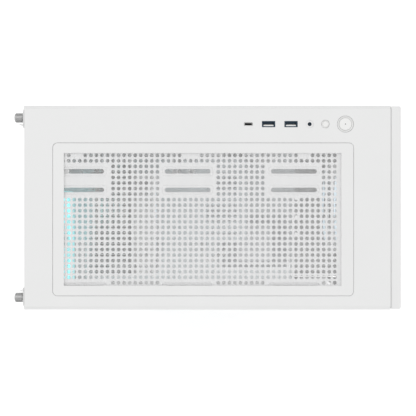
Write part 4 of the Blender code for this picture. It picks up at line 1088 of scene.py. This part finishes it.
def make_base():
    """The floor sheet, with a vent under the power supply and the filter's two runners."""
    x, y, (low, top) = sides_of("chassis_base")
    vent = (-0.06, 0.066), (0.056, 0.182)
    holes = [round_rect(about(u, 0.0022), about(v, 0.009), 0.0021)
             for u in (-0.04, -0.014, 0.014, 0.04) for v in (-0.13, -0.09)]
    holes += [circle(u, v, 0.0021, 20) for u in (-0.091, 0.091) for v in (-0.148, 0.155, -0.06, 0.04)]
    base = Piece("base_sheet")
    loops = [round_rect(x, y, 0.0006, steps=2), rect(*vent), *holes]
    base.put(plate(loops, "XY", top - SHEET, top, 0.0003), POWDER)
    add_vent(base, *vent, "XY", top, 0.0064, 0.0015, POWDER)
    for side, wall in ((-1, -0.07), (1, 0.076)):
        outer = wall + side * 0.0012
        runner = (0.03, 0.192)
        base.put(block(sorted((wall, outer)), runner, (low, top - SHEET + 0.0004), 0.0003), POWDER)
        base.put(block(sorted((outer, wall - side * 0.003)), runner, (low, low + 0.0012), 0.0004), POWDER)
    base.ride("chassis", "white_steel", "chassis_base")


def make_feet():
    """Each foot is a plastic block with a rubber pad and a rubber rim under it."""
    for node in [f"foot_{end}_{side}" for end in ("front", "rear") for side in ("left", "right")]:
        x, y, z = sides_of(node)
        body, rim, bore, pad = [round_rect(x, y, radius, by, 10) for radius, by in
                                ((0.01, 0.0003), (0.0092, 0.0012), (0.0056, 0.0046), (0.0062, 0.004))]
        foot = Piece(f"{node}_pad")
        foot.put(plate([body], "XY", 0.003, z[1], 0.0012), PLASTIC)
        foot.put(plate([pad], "XY", 0.0006, 0.005, 0.0005), RUBBER)
        foot.put(plate([rim, bore], "XY", 0, 0.004, 0.0006), RUBBER)
        foot.ride("chassis", "rubber", node)


def make_psu_filter():
    """A frame with four windows, a grip behind it, and crossed threads."""
    x, y, z = sides_of("psu_filter")
    rim, rib, rear = 0.0075, 0.003, 0.193
    x, frame_y = inset(x, GAP), (y[0], rear)
    across, along = [[(low + rim, (low + high) / 2 - rib), ((low + high) / 2 + rib, high - rim)]
                     for low, high in (x, frame_y)]
    windows = [rect(u, v) for v in along for u in across]
    tray = Piece("psu_filter_frame")
    tray.put(plate([round_rect(x, frame_y, 0.003), *windows], "XY", *z, 0.0005), BLACK)
    tray.put(block((-0.015, 0.021), (rear - 0.001, y[1]), inset(z, 0.0004), 0.0006), BLACK)
    for step in (0.0022, 0.004):
        ridge = (rear + step, rear + step + 0.0008)
        tray.put(block((-0.011, 0.017), ridge, (z[1] - 0.0006, z[1] - 0.0001), 0.0002), BLACK)
    tray.ride("psu_filter", "black_plastic", "psu_filter")
    threads = Piece("psu_filter_threads")
    held = [inset(span, rim - 0.001) for span in (x, frame_y)]
    threads.put(crossed_threads(*held, z[0] + 0.0009, 0.0015, 0.00045), BLACK)
    threads.ride("psu_filter", "black_plastic")


# ---------------------------------------------------------------- motherboard
def make_motherboard():
    board = Piece("mainboard")
    holes = [circle(*spot, 0.002, 20) for spot in BOARD_SCREWS]
    board.put(plate([rect(*BOARD_SIDES), *holes], "YZ", BOARD_FACE, BOARD_FACE + BOARD_THICKNESS), PCB)
    for add in (add_io_block, add_processor_socket, add_board_slots, add_board_headers, add_board_heatsinks,
                add_small_parts):
        add(board)
    board.ride("chassis", "circuit_board", "motherboard")
    screws = Piece("mainboard_screws")
    for spot in BOARD_SCREWS:
        screw_head(screws, (BOARD_FACE, *spot), "-X", 0.003)
    screws.ride("chassis", "steel")
    carried("processor", ALUMINIUM)


def stand(board, top, y, z, look, edge=0.0):
    """A block that stands on the board, out to x = top."""
    board.put(block((top, BOARD_FACE), y, z, edge), look)


def add_io_block(board):
    """The sockets' metal cans behind the I/O shield, under a white cover."""
    front, rear = y = (0.16, 0.1925)
    for u, v, wide, tall in rear_sockets():
        x, z = about(u, wide / 2), about(v, tall / 2)
        can = inset(x, -0.0006), inset(z, -0.0006)
        board.put(plate([rect(*can), rect(x, z)], "XZ", front + 0.01, rear), STEEL)
        board.put(block(can[0], (front + 0.01, front + 0.015), can[1]), BLACK)
        tongue = (u - wide * 0.1, u + wide * 0.16)
        board.put(block(tongue, (front + 0.014, rear - 0.0012), about(v, tall * 0.4), 0.0002), NAVY)
        if wide > 0.006:
            contacts = [((u + wide * 0.3, u + wide * 0.36), (front + 0.016, rear - 0.002), span)
                        for span in row_of(8, v - 0.004, 0.00115, 0.0004)]
            board.put(blocks(contacts), GOLD)
    z = (0.232, 0.372)
    for box in (((0.04, 0.0414), y, z), ((0.04, 0.074), (front, front + 0.0014), z),
                ((0.04, 0.074), y, (z[0], z[0] + 0.0014)), ((0.04, 0.074), y, (z[1] - 0.0014, z[1]))):
        board.put(block(*box, 0.0006), PLASTIC)
    grooves = [((0.04, 0.0404), span, (0.25, 0.354))
               for span in row_of(10, front + 0.004, 0.0026, 0.0008)]
    board.put(blocks(grooves), SATIN_SILVER)


def add_processor_socket(board):
    y, z = PROCESSOR
    frame_hole = rect(about(y, 0.0195), about(z, 0.0195))
    loops = [round_rect(about(y, 0.026), about(z, 0.026), 0.003), frame_hole]
    board.put(plate(loops, "YZ", 0.0705, BOARD_FACE + 0.0002, 0.0004), BLACK)
    lever = [(x, y + 0.0275, z + along) for x, along in ((0.0712, -0.024), (0.0712, 0.022), (0.07, 0.027))]
    board.put(tube(lever, 0.0009), STEEL)
    post = [(0.003, 0), (0.003, 0.006), (0.0024, 0.0066), (0, 0.0066)]
    for a, b in CORNERS:
        board.put(turned(post, 20, (BOARD_FACE, y + a * 0.0345, z + b * 0.0375), "-X"), STEEL)


def add_board_slots(board):
    """Four memory slots, and under them the slots for cards."""
    z = (0.243, 0.377)
    for y, look in ((0.046, BLACK), (0.037, PLASTIC), (0.028, BLACK), (0.019, PLASTIC)):
        for side in ((y - 0.0029, y - 0.001), (y + 0.001, y + 0.0029)):
            stand(board, 0.0682, side, z, look, 0.0003)
        stand(board, 0.0715, about(y, 0.0012), z, BLACK)
        for latch in ((z[0] - 0.003, z[0] + 0.0002), (z[1] - 0.0002, z[1] + 0.003)):
            stand(board, 0.068, about(y, 0.003), latch, look, 0.0005)
    long, short, level = (0.052, 0.141), (0.116, 0.141), slot_z(0) + 0.0045
    stand(board, 0.0662, long, about(level, 0.0035), STEEL, 0.0006)
    for y, down in ((long, 2), (short, 1)):
        slot = level - CARD_SLOT_PITCH * down
        stand(board, 0.0665, y, about(slot, 0.0034), BLACK, 0.0006)
        board.put(block((0.0664, 0.0667), inset(y, 0.003), about(slot, 0.0008)), NAVY)


def add_board_headers(board):
    """The two power sockets with their pins, the drive sockets, the fan and panel pins, and the battery."""
    power, processor = ((-0.052, -0.042), (0.3, 0.353)), ((0.1605, 0.178), (0.3735, 0.3832))
    power_pins = [(about(y, 0.0015), z)
                  for y in (-0.0492, -0.0448) for z in row_of(12, 0.3035, 0.004, 0.003)]
    processor_pins = [(y, about(z, 0.0015))
                      for z in (0.3758, 0.3805) for y in row_of(4, 0.1615, 0.0042, 0.003)]
    for x, body, pins in ((0.0602, power, power_pins), (0.0637, processor, processor_pins)):
        stand(board, x, *body, PLASTIC, 0.0005)
        board.put(blocks([((x - 0.0002, x + 0.0004), *pin) for pin in pins]), BLACK)
    for z in row_of(2, 0.205, 0.017, 0.0145):
        stand(board, 0.064, (-0.0535, -0.04), z, BLACK, 0.0005)
    for start in (0, 0.03, 0.06, 0.09, 0.12):
        stand(board, 0.066, (start, start + 0.018), (0.1425, 0.1475), BLACK, 0.0004)
        board.put(blocks([((0.064, 0.0662), y, z) for y in row_of(6, start + 0.0016, 0.00254, 0.0006)
                          for z in row_of(2, 0.1437, 0.002, 0.0006)]), GOLD)
    cell = [(0, 0), (0.01, 0), (0.01, 0.003), (0.0092, 0.0034), (0, 0.0034)]
    holder = ring_profile(0.0102, 0.0112, 0, 0.0026)
    for profile, lift, look in ((cell, 0.0006, STEEL), (holder, 0.0002, BLACK)):
        board.put(turned(profile, 40, (BOARD_FACE - lift, 0.07, 0.19), "-X"), look)


def add_board_heatsinks(board):
    """Finned blocks beside the processor, and flat ones over the drive slot and the chipset."""
    top_fins = [((0.048, 0.0735), y, (0.368, 0.382)) for y in row_of(15, 0.085, 0.0044, 0.0022)]
    side_fins = [((0.047, 0.0735), (0.144, 0.158), z) for z in row_of(30, 0.245, 0.0046, 0.0024)]
    grooves = [((0.0656, 0.0662), y, (0.2262, 0.2358)) for y in row_of(21, -0.016, 0.004, 0.0008)]
    board.put(blocks(top_fins + side_fins + grooves), SATIN_SILVER)
    for x, y, z, edge, look in (((0.064, 0.0738), (0.085, 0.15), (0.3685, 0.3815), 0.0008, SATIN_SILVER),
                                ((0.063, 0.0738), (0.1445, 0.1575), (0.2455, 0.381), 0.0008, SATIN_SILVER),
                                ((0.066, 0.074), (-0.02, 0.07), (0.225, 0.237), 0.001, PLASTIC),
                                ((0.065, 0.074), (-0.04, 0.01), (0.152, 0.198), 0.0012, PLASTIC)):
        board.put(block(x, y, z, edge), look)
    for z in row_of(5, 0.157, 0.0082, 0.004):
        board.put(block((0.0642, 0.0655), (-0.034, 0.004), z, 0.0004), SATIN_SILVER)


def add_small_parts(board):
    """Chokes, capacitors and chips, in rows."""
    chokes = [(y, (0.356, 0.363)) for y in row_of(7, 0.0862, 0.0086, 0.007)]
    chokes += [((0.1365, 0.143), z) for z in row_of(9, 0.247, 0.0125, 0.0074)]
    for y, z in chokes:
        stand(board, 0.069, y, z, BLACK, 0.0006)
    can = [(0, 0), (0.0031, 0), (0.0031, 0.0008), (0.0029, 0.0012), (0.0031, 0.0016), (0.0031, 0.007),
           (0.0027, 0.0074), (0, 0.0074)]
    spots = [(0.0885 + 0.0086 * step, 0.3505) for step in range(7)]
    spots += [(0.16 + 0.009 * step, 0.208) for step in range(3)]
    spots += [(-0.03, 0.364 - 0.01 * step) for step in range(2)]
    spots += [(0.008 * step, 0.21) for step in (1, 0, -1)]
    for spot in spots:
        board.put(turned(can, 20, (BOARD_FACE, *spot), "-X"), SATIN_SILVER)
    for y, z, size, out in ((-0.035, 0.255, 0.01, 0.0016), (0.15, 0.18, 0.013, 0.0016),
                            (0.15, 0.156, 0.008, 0.0014), (0.1, 0.17, 0.009, 0.0014),
                            (0.055, 0.262, 0.008, 0.0012)):
        chip = (BOARD_FACE - out, BOARD_FACE + 0.0002), (y, y + size), (z, z + size)
        board.put(block(*chip, 0.0002, 1), BLACK)
    board.put(block((0.073, BOARD_FACE + 0.0002), (-0.01, 0), (0.367, 0.375), 0.0002, 1), BLACK)
    tiny = []
    for row in range(4):
        for y in row_of(14, -0.036, 0.0145, 0.0016):
            z = 0.2412 - 0.0032 * (row % 2) + 0.142 * (row // 2)
            tiny.append(((BOARD_FACE - 0.0007, BOARD_FACE + 0.0001), y, (z - 0.143, z - 0.1422)))
    board.put(blocks(tiny), SATIN_SILVER)


def make_cooler():
    """A tower cooler: thin fins threaded on six heat pipes, a top cover and a cold plate."""
    x, y, z = sides_of("cpu_heatsink")
    start, cut = x[0], 0.004
    u, v = inset(y, cut), inset(z, cut)
    outline = [(y[0], v[0]), (u[0], z[0]), (u[1], z[0]), (y[1], v[0]), (y[1], v[1]), (u[1], z[1]),
               (u[0], z[1]), (y[0], v[1])]
    cooler = Piece("tower_cooler")
    for fin in row_of(48, start + 0.003, 0.00245, 0.0005):
        cooler.put(plate([outline], "YZ", *fin), ALUMINIUM)
    cooler.put(plate([outline], "YZ", start, start + 0.0022, 0.0006), PLASTIC)
    centre = PROCESSOR[1]
    rows = (0.272, 0.338)
    for a in (0.097, 0.113, 0.129):
        for b in rows:
            inward = centre + (b - centre) * 0.3
            pipe = [(start + 0.001, a, b), (-0.02, a, b), (0.035, a, b), (0.05, a, (b + inward) / 2),
                    (0.06, a, inward), (0.0612, a, centre)]
            cooler.put(tube(smooth_line(pipe), 0.003), COPPER)
    cooler.put(block((0.056, 0.0672), about(PROCESSOR[0], 0.02), about(centre, 0.02), 0.0008), ALUMINIUM)
    for a in (0.098, 0.128):
        cooler.put(block((0.054, 0.058), about(a, 0.003), (0.268, 0.342), 0.0008), STEEL)
        for b in rows:
            screw_head(cooler, (0.0545, a, b), "-X", 0.0032)
    for b in inset(z, 0.0012):
        clip = [(-0.066, 0.0872, b), (-0.066, 0.11, b), (0.03, 0.11, b), (0.03, 0.0872, b)]
        cooler.put(tube(clip, 0.0009, 2), STEEL)
    cooler.ride("chassis", "aluminium", "cpu_heatsink")


def make_memory(number):
    """A module with a white heat spreader on each face and a light bar along its free edge."""
    node = f"memory_module_{number}"
    x, y, z = sides_of(node)
    middle = (y[0] + y[1]) / 2
    stick = Piece(f"memory_stick_{number}")
    stick.put(block((x[0] + 0.004, x[1]), about(middle, 0.0006), z), PCB)
    shape = round_rect((x[0] + 0.005, x[1] - 0.0045), inset(z, 0.0004), 0.0012)
    for side in (-1, 1):
        skin, ridge = [sorted((middle + side * near, middle + side * far))
                       for near, far in ((0.0008, 0.0034), (0.003, 0.0035))]
        stick.put(plate([shape], "XZ", *skin, 0.0004), PLASTIC)
        for low in np.arange(z[0] + 0.01, z[1] - 0.014, 0.0165):
            stick.put(block((x[0] + 0.01, x[1] - 0.009), ridge, (low, low + 0.008), 0.0002), SATIN_SILVER)
    stick.put(block((x[0], x[0] + 0.0056), about(middle, 0.0029), inset(z, 0.002), 0.0012), RING)
    stick.ride("chassis", "white_plastic", node)


# ---------------------------------------------------------------- graphics card
def make_graphics_card():
    """The board with its back plate, and the bracket with its three sockets."""
    y = sides_of("graphics_card_board")[1]
    slot, first, second = slot_z(0) + 0.0045, slot_z(0), slot_z(1)
    x = (-0.045, 0.064)
    card = Piece("graphics_board")
    card.put(block(x, (y[0], y[1] - 0.0012), about(slot, 0.0008)), PCB)
    slits = [round_rect(about(u, 0.0012), (-0.038, 0.002), 0.0011) for u in np.arange(-0.034, 0.056, 0.006)]
    backplate = round_rect(inset(x, 0.0003), (y[0] + 0.0003, 0.186), 0.004)
    # The back plate's plastic carries painted blue light from the fans.
    card.put(plate([backplate, *slits], "XY", slot + 0.0012, slot + 0.0026, 0.0004), PAINTED_BLUE_LIGHT_PLASTIC)
    screw = [(0, 0.0001), (0.0012, 0.0001), (0.0016, 0.0003), (0.0025, 0), (0.0025, -0.0006)]
    for u in (x[0] + 0.006, x[1] - 0.01):
        for v in (y[0] + 0.008, 0.068, 0.178):
            card.put(turned(screw, 20, (u, v, slot + 0.0023)), STEEL)
    sockets = (-0.024, 0.004, 0.032)
    holes = [rect(about(u, 0.0086), about(first, 0.003)) for u in sockets]
    holes += bracket_slits((second - 0.0055, second + 0.005), 0.0013)
    bracket = round_rect((-0.052, 0.066), (second - 0.0091, first + 0.0091), 0.0015)
    card.put(plate([bracket, *holes], "XZ", y[1] - 0.0009, y[1], 0.0002), STEEL)
    front, rear = y[1] - 0.014, y[1] - 0.0002
    for u in sockets:
        opening = about(u, 0.00825), about(first, 0.0026)
        shell = [round_rect(*opening, 0.0008, -0.0006), round_rect(*opening, 0.0006)]
        card.put(plate(shell, "XZ", front, rear), STEEL)
        card.put(block(opening[0], (front, front + 0.002), opening[1]), BLACK)
        tongue = about(u, 0.0066), (front, rear - 0.0015), (first - 0.0004, first + 0.0006)
        card.put(block(*tongue, 0.0002), BLACK)
    card.ride("chassis", "white_plastic", "graphics_card_board")


def make_card_cooler():
    """A shroud with two fan openings over a stack of fins, and a light stripe along its free edge."""
    x, y, (low, high) = sides_of("graphics_card_shroud")
    middle = (x[0] + x[1]) / 2
    fans = [middle_of(f"graphics_fan_rotor_{number}").y for number in (1, 2)]
    rings = [circle(middle, fan, 0.044, 72) for fan in fans]
    outline = round_rect(x, y, 0.006, steps=8)
    cooler = Piece("graphics_cooler")
    cooler.put(plate([outline, *rings], "XY", low, low + 0.0045, 0.0012, 3), PLASTIC)
    wall = round_rect(x, y, 0.0045, 0.0025, 8)
    cooler.put(plate([outline, wall], "XY", low + 0.0035, low + 0.016, 0.0006), PLASTIC)
    for fan, ring in zip(fans, rings):
        cooler.put(plate([circle(middle, fan, 0.0452, 72), ring], "XY", low + 0.003, low + 0.0135), PLASTIC)
        for number in range(3):
            arm = block((0.012, 0.0445), about(0, 0.0018), (0, 0.0009), 0.0003)
            place = (middle, fan, low + 0.0135)
            cooler.put(arm, PLASTIC, posed(place, turn=math.radians(120 * number + 15)))
    fins = [(inset(x, 0.004), (start, start + 0.0005), (low + 0.0145, high - 0.0006))
            for start in np.arange(y[0] + 0.004, y[1] - 0.004, 0.0022)]
    cooler.put(blocks(fins), ALUMINIUM)
    for u in about(middle, 0.02):
        cooler.put(tube([(u, v, low + 0.022) for v in inset(y, 0.006)], 0.003), COPPER)
    cooler.put(block(inset(x, 0.002), inset(y, 0.002), (high - 0.003, high - 0.0004), 0.0006), SATIN_SILVER)
    cooler.put(block((x[0], x[0] + 0.0012), inset(y, 0.03), (low + 0.008, low + 0.01), 0.0003), GLOW)
    cooler.put(block((-0.0448, -0.03), (-0.004, 0.016), (high - 0.0176, high - 0.0066), 0.0006), BLACK)
    cooler.ride("chassis", "white_plastic", "graphics_card_shroud")


# ---------------------------------------------------------------- power supply and drive
INLET = (0.048, 0.076)
SWITCH = (0.018, 0.076)


def make_power_supply():
    """The case: a vented rear face with the inlet and the switch, a fan opening below, and plain walls."""
    x, y, z = sides_of("power_supply")
    face, bottom = y[1], z[0]
    fan = middle_of("psu_fan_rotor")
    vent = (x[0] + 0.01, 0.004), inset(z, 0.008)
    case = Piece("power_supply_case")
    holes = [rect(about(INLET[0], 0.014), about(INLET[1], 0.01)),
             rect(about(SWITCH[0], 0.0063), about(SWITCH[1], 0.01)), rect(*vent)]
    case.put(plate([round_rect(x, z, 0.001, steps=2), *holes], "XZ", face - SHEET, face, 0.0002), POWDER)
    add_vent(case, *vent, "XZ", face, 0.0062, 0.0014, POWDER, 0.002, 0.003)
    loops = [rect(x, y), circle(fan.x, fan.y, 0.056, 72)]
    case.put(plate(loops, "XY", bottom, bottom + SHEET, 0.0003), POWDER)
    for box in (((x[0], x[0] + SHEET), y, z), ((x[1] - SHEET, x[1]), y, z), (x, y, (z[1] - SHEET, z[1])),
                (x, (y[0], y[0] + SHEET), z)):
        case.put(block(*box, 0.0003), POWDER)
    case.ride("chassis", "white_steel", "power_supply")
    make_power_insides(x, y[0], face)
    guard = Piece("power_supply_fan_guard")
    level = bottom + 0.0006

    def point(radius, turn, height):
        return fan.x + radius * math.cos(turn), fan.y + radius * math.sin(turn), height

    for radius in (0.014, 0.024, 0.034, 0.044, 0.053):
        ring = [point(radius, turn, level) for turn in np.linspace(0, 2 * math.pi, 49)[:-1]]
        guard.put(tube(ring, 0.0006, 2, True), NICKEL)
    for number in range(4):
        spoke = [point(radius, math.radians(45 + 90 * number), level + 0.0011) for radius in (0.012, 0.0565)]
        guard.put(tube(spoke, 0.0006, 2), NICKEL)
    guard.ride("chassis", "steel")
    carried("psu_switch", BLACK)


def make_power_insides(x, front, face):
    """The board with its coils, cans and fins, and the bodies of the inlet and the switch."""
    top = 0.0925
    inside = Piece("power_supply_insides")
    inside.put(block(inset(x, 0.006), (front + 0.006, face - 0.022), (0.092, 0.0936)), PCB)
    for u, v, half in ((-0.045, 0.075, 0.015), (0.01, 0.09, 0.018), (0.05, 0.13, 0.013)):
        inside.put(block(about(u, half), about(v, half), (0.06, top), 0.002), BLACK)
    can = [(0, 0), (0.011, 0), (0.011, 0.03), (0.01, 0.0308), (0, 0.0308)]
    for u, v in ((-0.03, 0.14), (-0.004, 0.146)):
        inside.put(turned(can, 32, (u, v, top), "-Z"), BLACK)
    fins = [(span, (0.1, 0.16), (0.066, top)) for start in (-0.058, 0.03)
            for span in row_of(4, start, 0.0034, 0.0014)]
    inside.put(blocks(fins), ALUMINIUM)
    u, v = INLET
    outer = about(u, 0.015), about(v, 0.011)
    inside.put(block(outer[0], (face - 0.0172, face - 0.016), outer[1]), BLACK)
    shell = [round_rect(*outer, 0.002), round_rect(about(u, 0.0128), about(v, 0.0086), 0.0035)]
    inside.put(plate(shell, "XZ", face - 0.0165, face + 0.0004, 0.0003), BLACK)
    for right, up in ((-0.007, 0.0012), (0.007, 0.0012), (0, -0.003)):
        pin = block(about(u + right, 0.001), (face - 0.0165, face - 0.003), about(v + up, 0.002), 0.0004)
        inside.put(pin, STEEL)
    u, v = SWITCH
    rim = [round_rect(about(u, 0.0075), about(v, 0.0112), 0.0012), rect(about(u, 0.0062), about(v, 0.0099))]
    inside.put(plate(rim, "XZ", face - 0.01, face + 0.0004, 0.0002), BLACK)
    inside.put(block(about(u, 0.0068), (face - 0.0106, face - 0.0098), about(v, 0.0104)), BLACK)
    inside.ride("chassis", "black_plastic")


def make_drive():
    """A thin case with an inset top, a blank label, four screws and its socket."""
    x, y, (low, high) = sides_of("ssd")
    drive = Piece("solid_state_drive")
    drive.put(block(x, y, (low, high - 0.0012), 0.0008), ALUMINIUM)
    drive.put(plate([round_rect(x, y, 0.002, 0.002)], "XY", high - 0.0014, high - 0.0002, 0.0003), GREY_METAL)
    label = round_rect(inset(x, 0.01), inset(y, 0.028), 0.0015)
    drive.put(plate([label], "XY", high - 0.0004, high, 0.00005), SATIN_SILVER)
    screw = [(0, 0), (0.0012, 0), (0.0016, 0.0002), (0.0019, 0)]
    for u in inset(x, 0.005):
        for v in inset(y, 0.005):
            drive.put(turned(screw, 16, (u, v, high - 0.0002)), STEEL)
    drive.put(block((x[0] + 0.012, x[0] + 0.04), (y[0], y[0] + 0.003), (low + 0.0015, high - 0.0025)), BLACK)
    drive.ride("chassis", "aluminium", "ssd")


# ---------------------------------------------------------------- cables
BEHIND_TRAY = 0.0935
CABLES = {
    "main_power_cable": (0.0048, [
        (0.040, 0.0437, 0.075), (0.040, 0.034, 0.075), (0.054, 0.006, 0.075), (0.078, -0.010, 0.075),
        (BEHIND_TRAY, -0.030, 0.095), (BEHIND_TRAY, -0.064, 0.160), (BEHIND_TRAY, -0.086, 0.240),
        (BEHIND_TRAY, -0.088, 0.300), (0.084, -0.080, 0.328), (0.066, -0.080, 0.331),
        (0.055, -0.068, 0.328), (0.0550, -0.0600, 0.3265), (0.0550, -0.0525, 0.3265)]),
    "cpu_power_cable": (0.0035, [
        (0.060, 0.0437, 0.050), (0.060, 0.034, 0.050), (0.070, 0.014, 0.054), (0.082, 0.002, 0.062),
        (BEHIND_TRAY, 0.006, 0.080), (BEHIND_TRAY, 0.035, 0.130), (BEHIND_TRAY, 0.110, 0.215),
        (BEHIND_TRAY, 0.163, 0.310), (BEHIND_TRAY, 0.166, 0.384), (0.0880, 0.167, 0.3980),
        (0.0775, 0.169, 0.3975), (0.0705, 0.1695, 0.3935), (0.0690, 0.1695, 0.3890),
        (0.0690, 0.1695, 0.3836)]),
    "graphics_power_cable": (0.0035, [
        (0.010, 0.0437, 0.085), (0.010, 0.034, 0.085), (0.028, 0.006, 0.085), (0.044, -0.018, 0.092),
        (0.050, -0.030, 0.104), (0.050, -0.031, 0.120), (0.036, -0.036, 0.131), (-0.010, -0.040, 0.134),
        (-0.050, -0.030, 0.145), (-0.068, -0.008, 0.170), (-0.066, 0.004, 0.193), (-0.0585, 0.006, 0.200),
        (-0.0520, 0.006, 0.200), (-0.0454, 0.006, 0.200)]),
    "front_io_cable": (0.0025, [
        (BEHIND_TRAY, -0.076, 0.4062), (BEHIND_TRAY, -0.076, 0.400), (0.0930, -0.088, 0.370),
        (0.0925, -0.104, 0.320), (0.0925, -0.104, 0.250), (0.0915, -0.092, 0.200), (0.084, -0.080, 0.178),
        (0.074, -0.076, 0.170), (0.0650, -0.068, 0.165), (0.0610, -0.057, 0.161), (0.0620, -0.049, 0.160),
        (0.0670, -0.0445, 0.160), (0.0741, -0.0445, 0.160)]),
}


def make_cables():
    """Each cable runs whole, from the part that it leaves to its socket."""
    for name, (radius, points) in CABLES.items():
        line = smooth_line(points, 6)
        curve = bar_curve(name, line, radius)
        curve.materials.append(SLEEVE)
        lead = shown(f"{name}_sleeve", curve, "chassis", "white_cable", name)


# ---------------------------------------------------------------- floor, light and camera
def area_light(name, place, aim, size, energy):
    data = bpy.data.lights.new(name, "AREA")
    data.shape = "RECTANGLE"
    data.size, data.size_y = size
    data.energy = energy
    light = placed(name, data)
    light.location = place
    light.rotation_euler = (Vector(aim) - Vector(place)).to_track_quat("-Z", "Y").to_euler()


def make_stage():
    reach = 6
    corners = rect(about(0, reach), about(0, reach))
    floor = bpy.data.meshes.new("floor")
    floor.from_pydata([(*corner, 0) for corner in corners], [], [(0, 1, 2, 3)])
    floor.materials.append(material("pale_floor", (0.93, 0.93, 0.93), 0.85, mottle=0.0,
                                    sockets={**lit(0.3), "Specular IOR Level": 0.2}))
    placed("floor", floor)
    area_light("key", (1.2, 1.0, 2.6), (0, 0, 0.3), (2.2, 2.2), 14)
    area_light("fill", (-1.6, -1.8, 1.9), (0, 0, 0.2), (2.4, 2.4), 12)
    world = bpy.data.worlds.new("studio")
    world.use_nodes = True
    background = world.node_tree.nodes["Background"]
    background.inputs["Color"].default_value = (1, 1, 1, 1)
    background.inputs["Strength"].default_value = 0.85
    bpy.context.scene.world = world
    bpy.context.scene.view_settings.view_transform = "Standard"


def make_camera():
    camera = bpy.data.cameras.new("camera")
    camera.lens = 77.6
    holder = placed("camera", camera)
    holder.location = (-0.0004, 0.0002, HEIGHT + 0.95)
    holder.rotation_euler = (0, 0, -math.pi / 2)
    bpy.context.scene.camera = holder


def main():
    make_camera()
    make_cables()
    make_top_cover()
    make_top_rail()
    make_top_filter()
    make_usb_a(1)
    make_usb_a(2)
    make_usb_c()
    make_audio_jack()
    make_io_board()
    make_power_button()
    make_reset_button()
    make_fans()
    make_side_panel(1, "right_panel", "right_side_panel", "right_panel")
    make_side_panel(-1, "left_panel", "left_side_panel", "left_panel_frame")
    make_glass()
    make_front_cover()
    for node in THUMBSCREWS:
        make_thumbscrew(node)
    make_rear()
    make_slot_covers()
    make_io_shield()
    make_front_frame()
    make_tray()
    make_shroud()
    make_base()
    make_feet()
    make_psu_filter()
    make_motherboard()
    make_cooler()
    make_memory(1)
    make_memory(2)
    make_graphics_card()
    make_card_cooler()
    make_power_supply()
    make_drive()
    make_stage()


main()
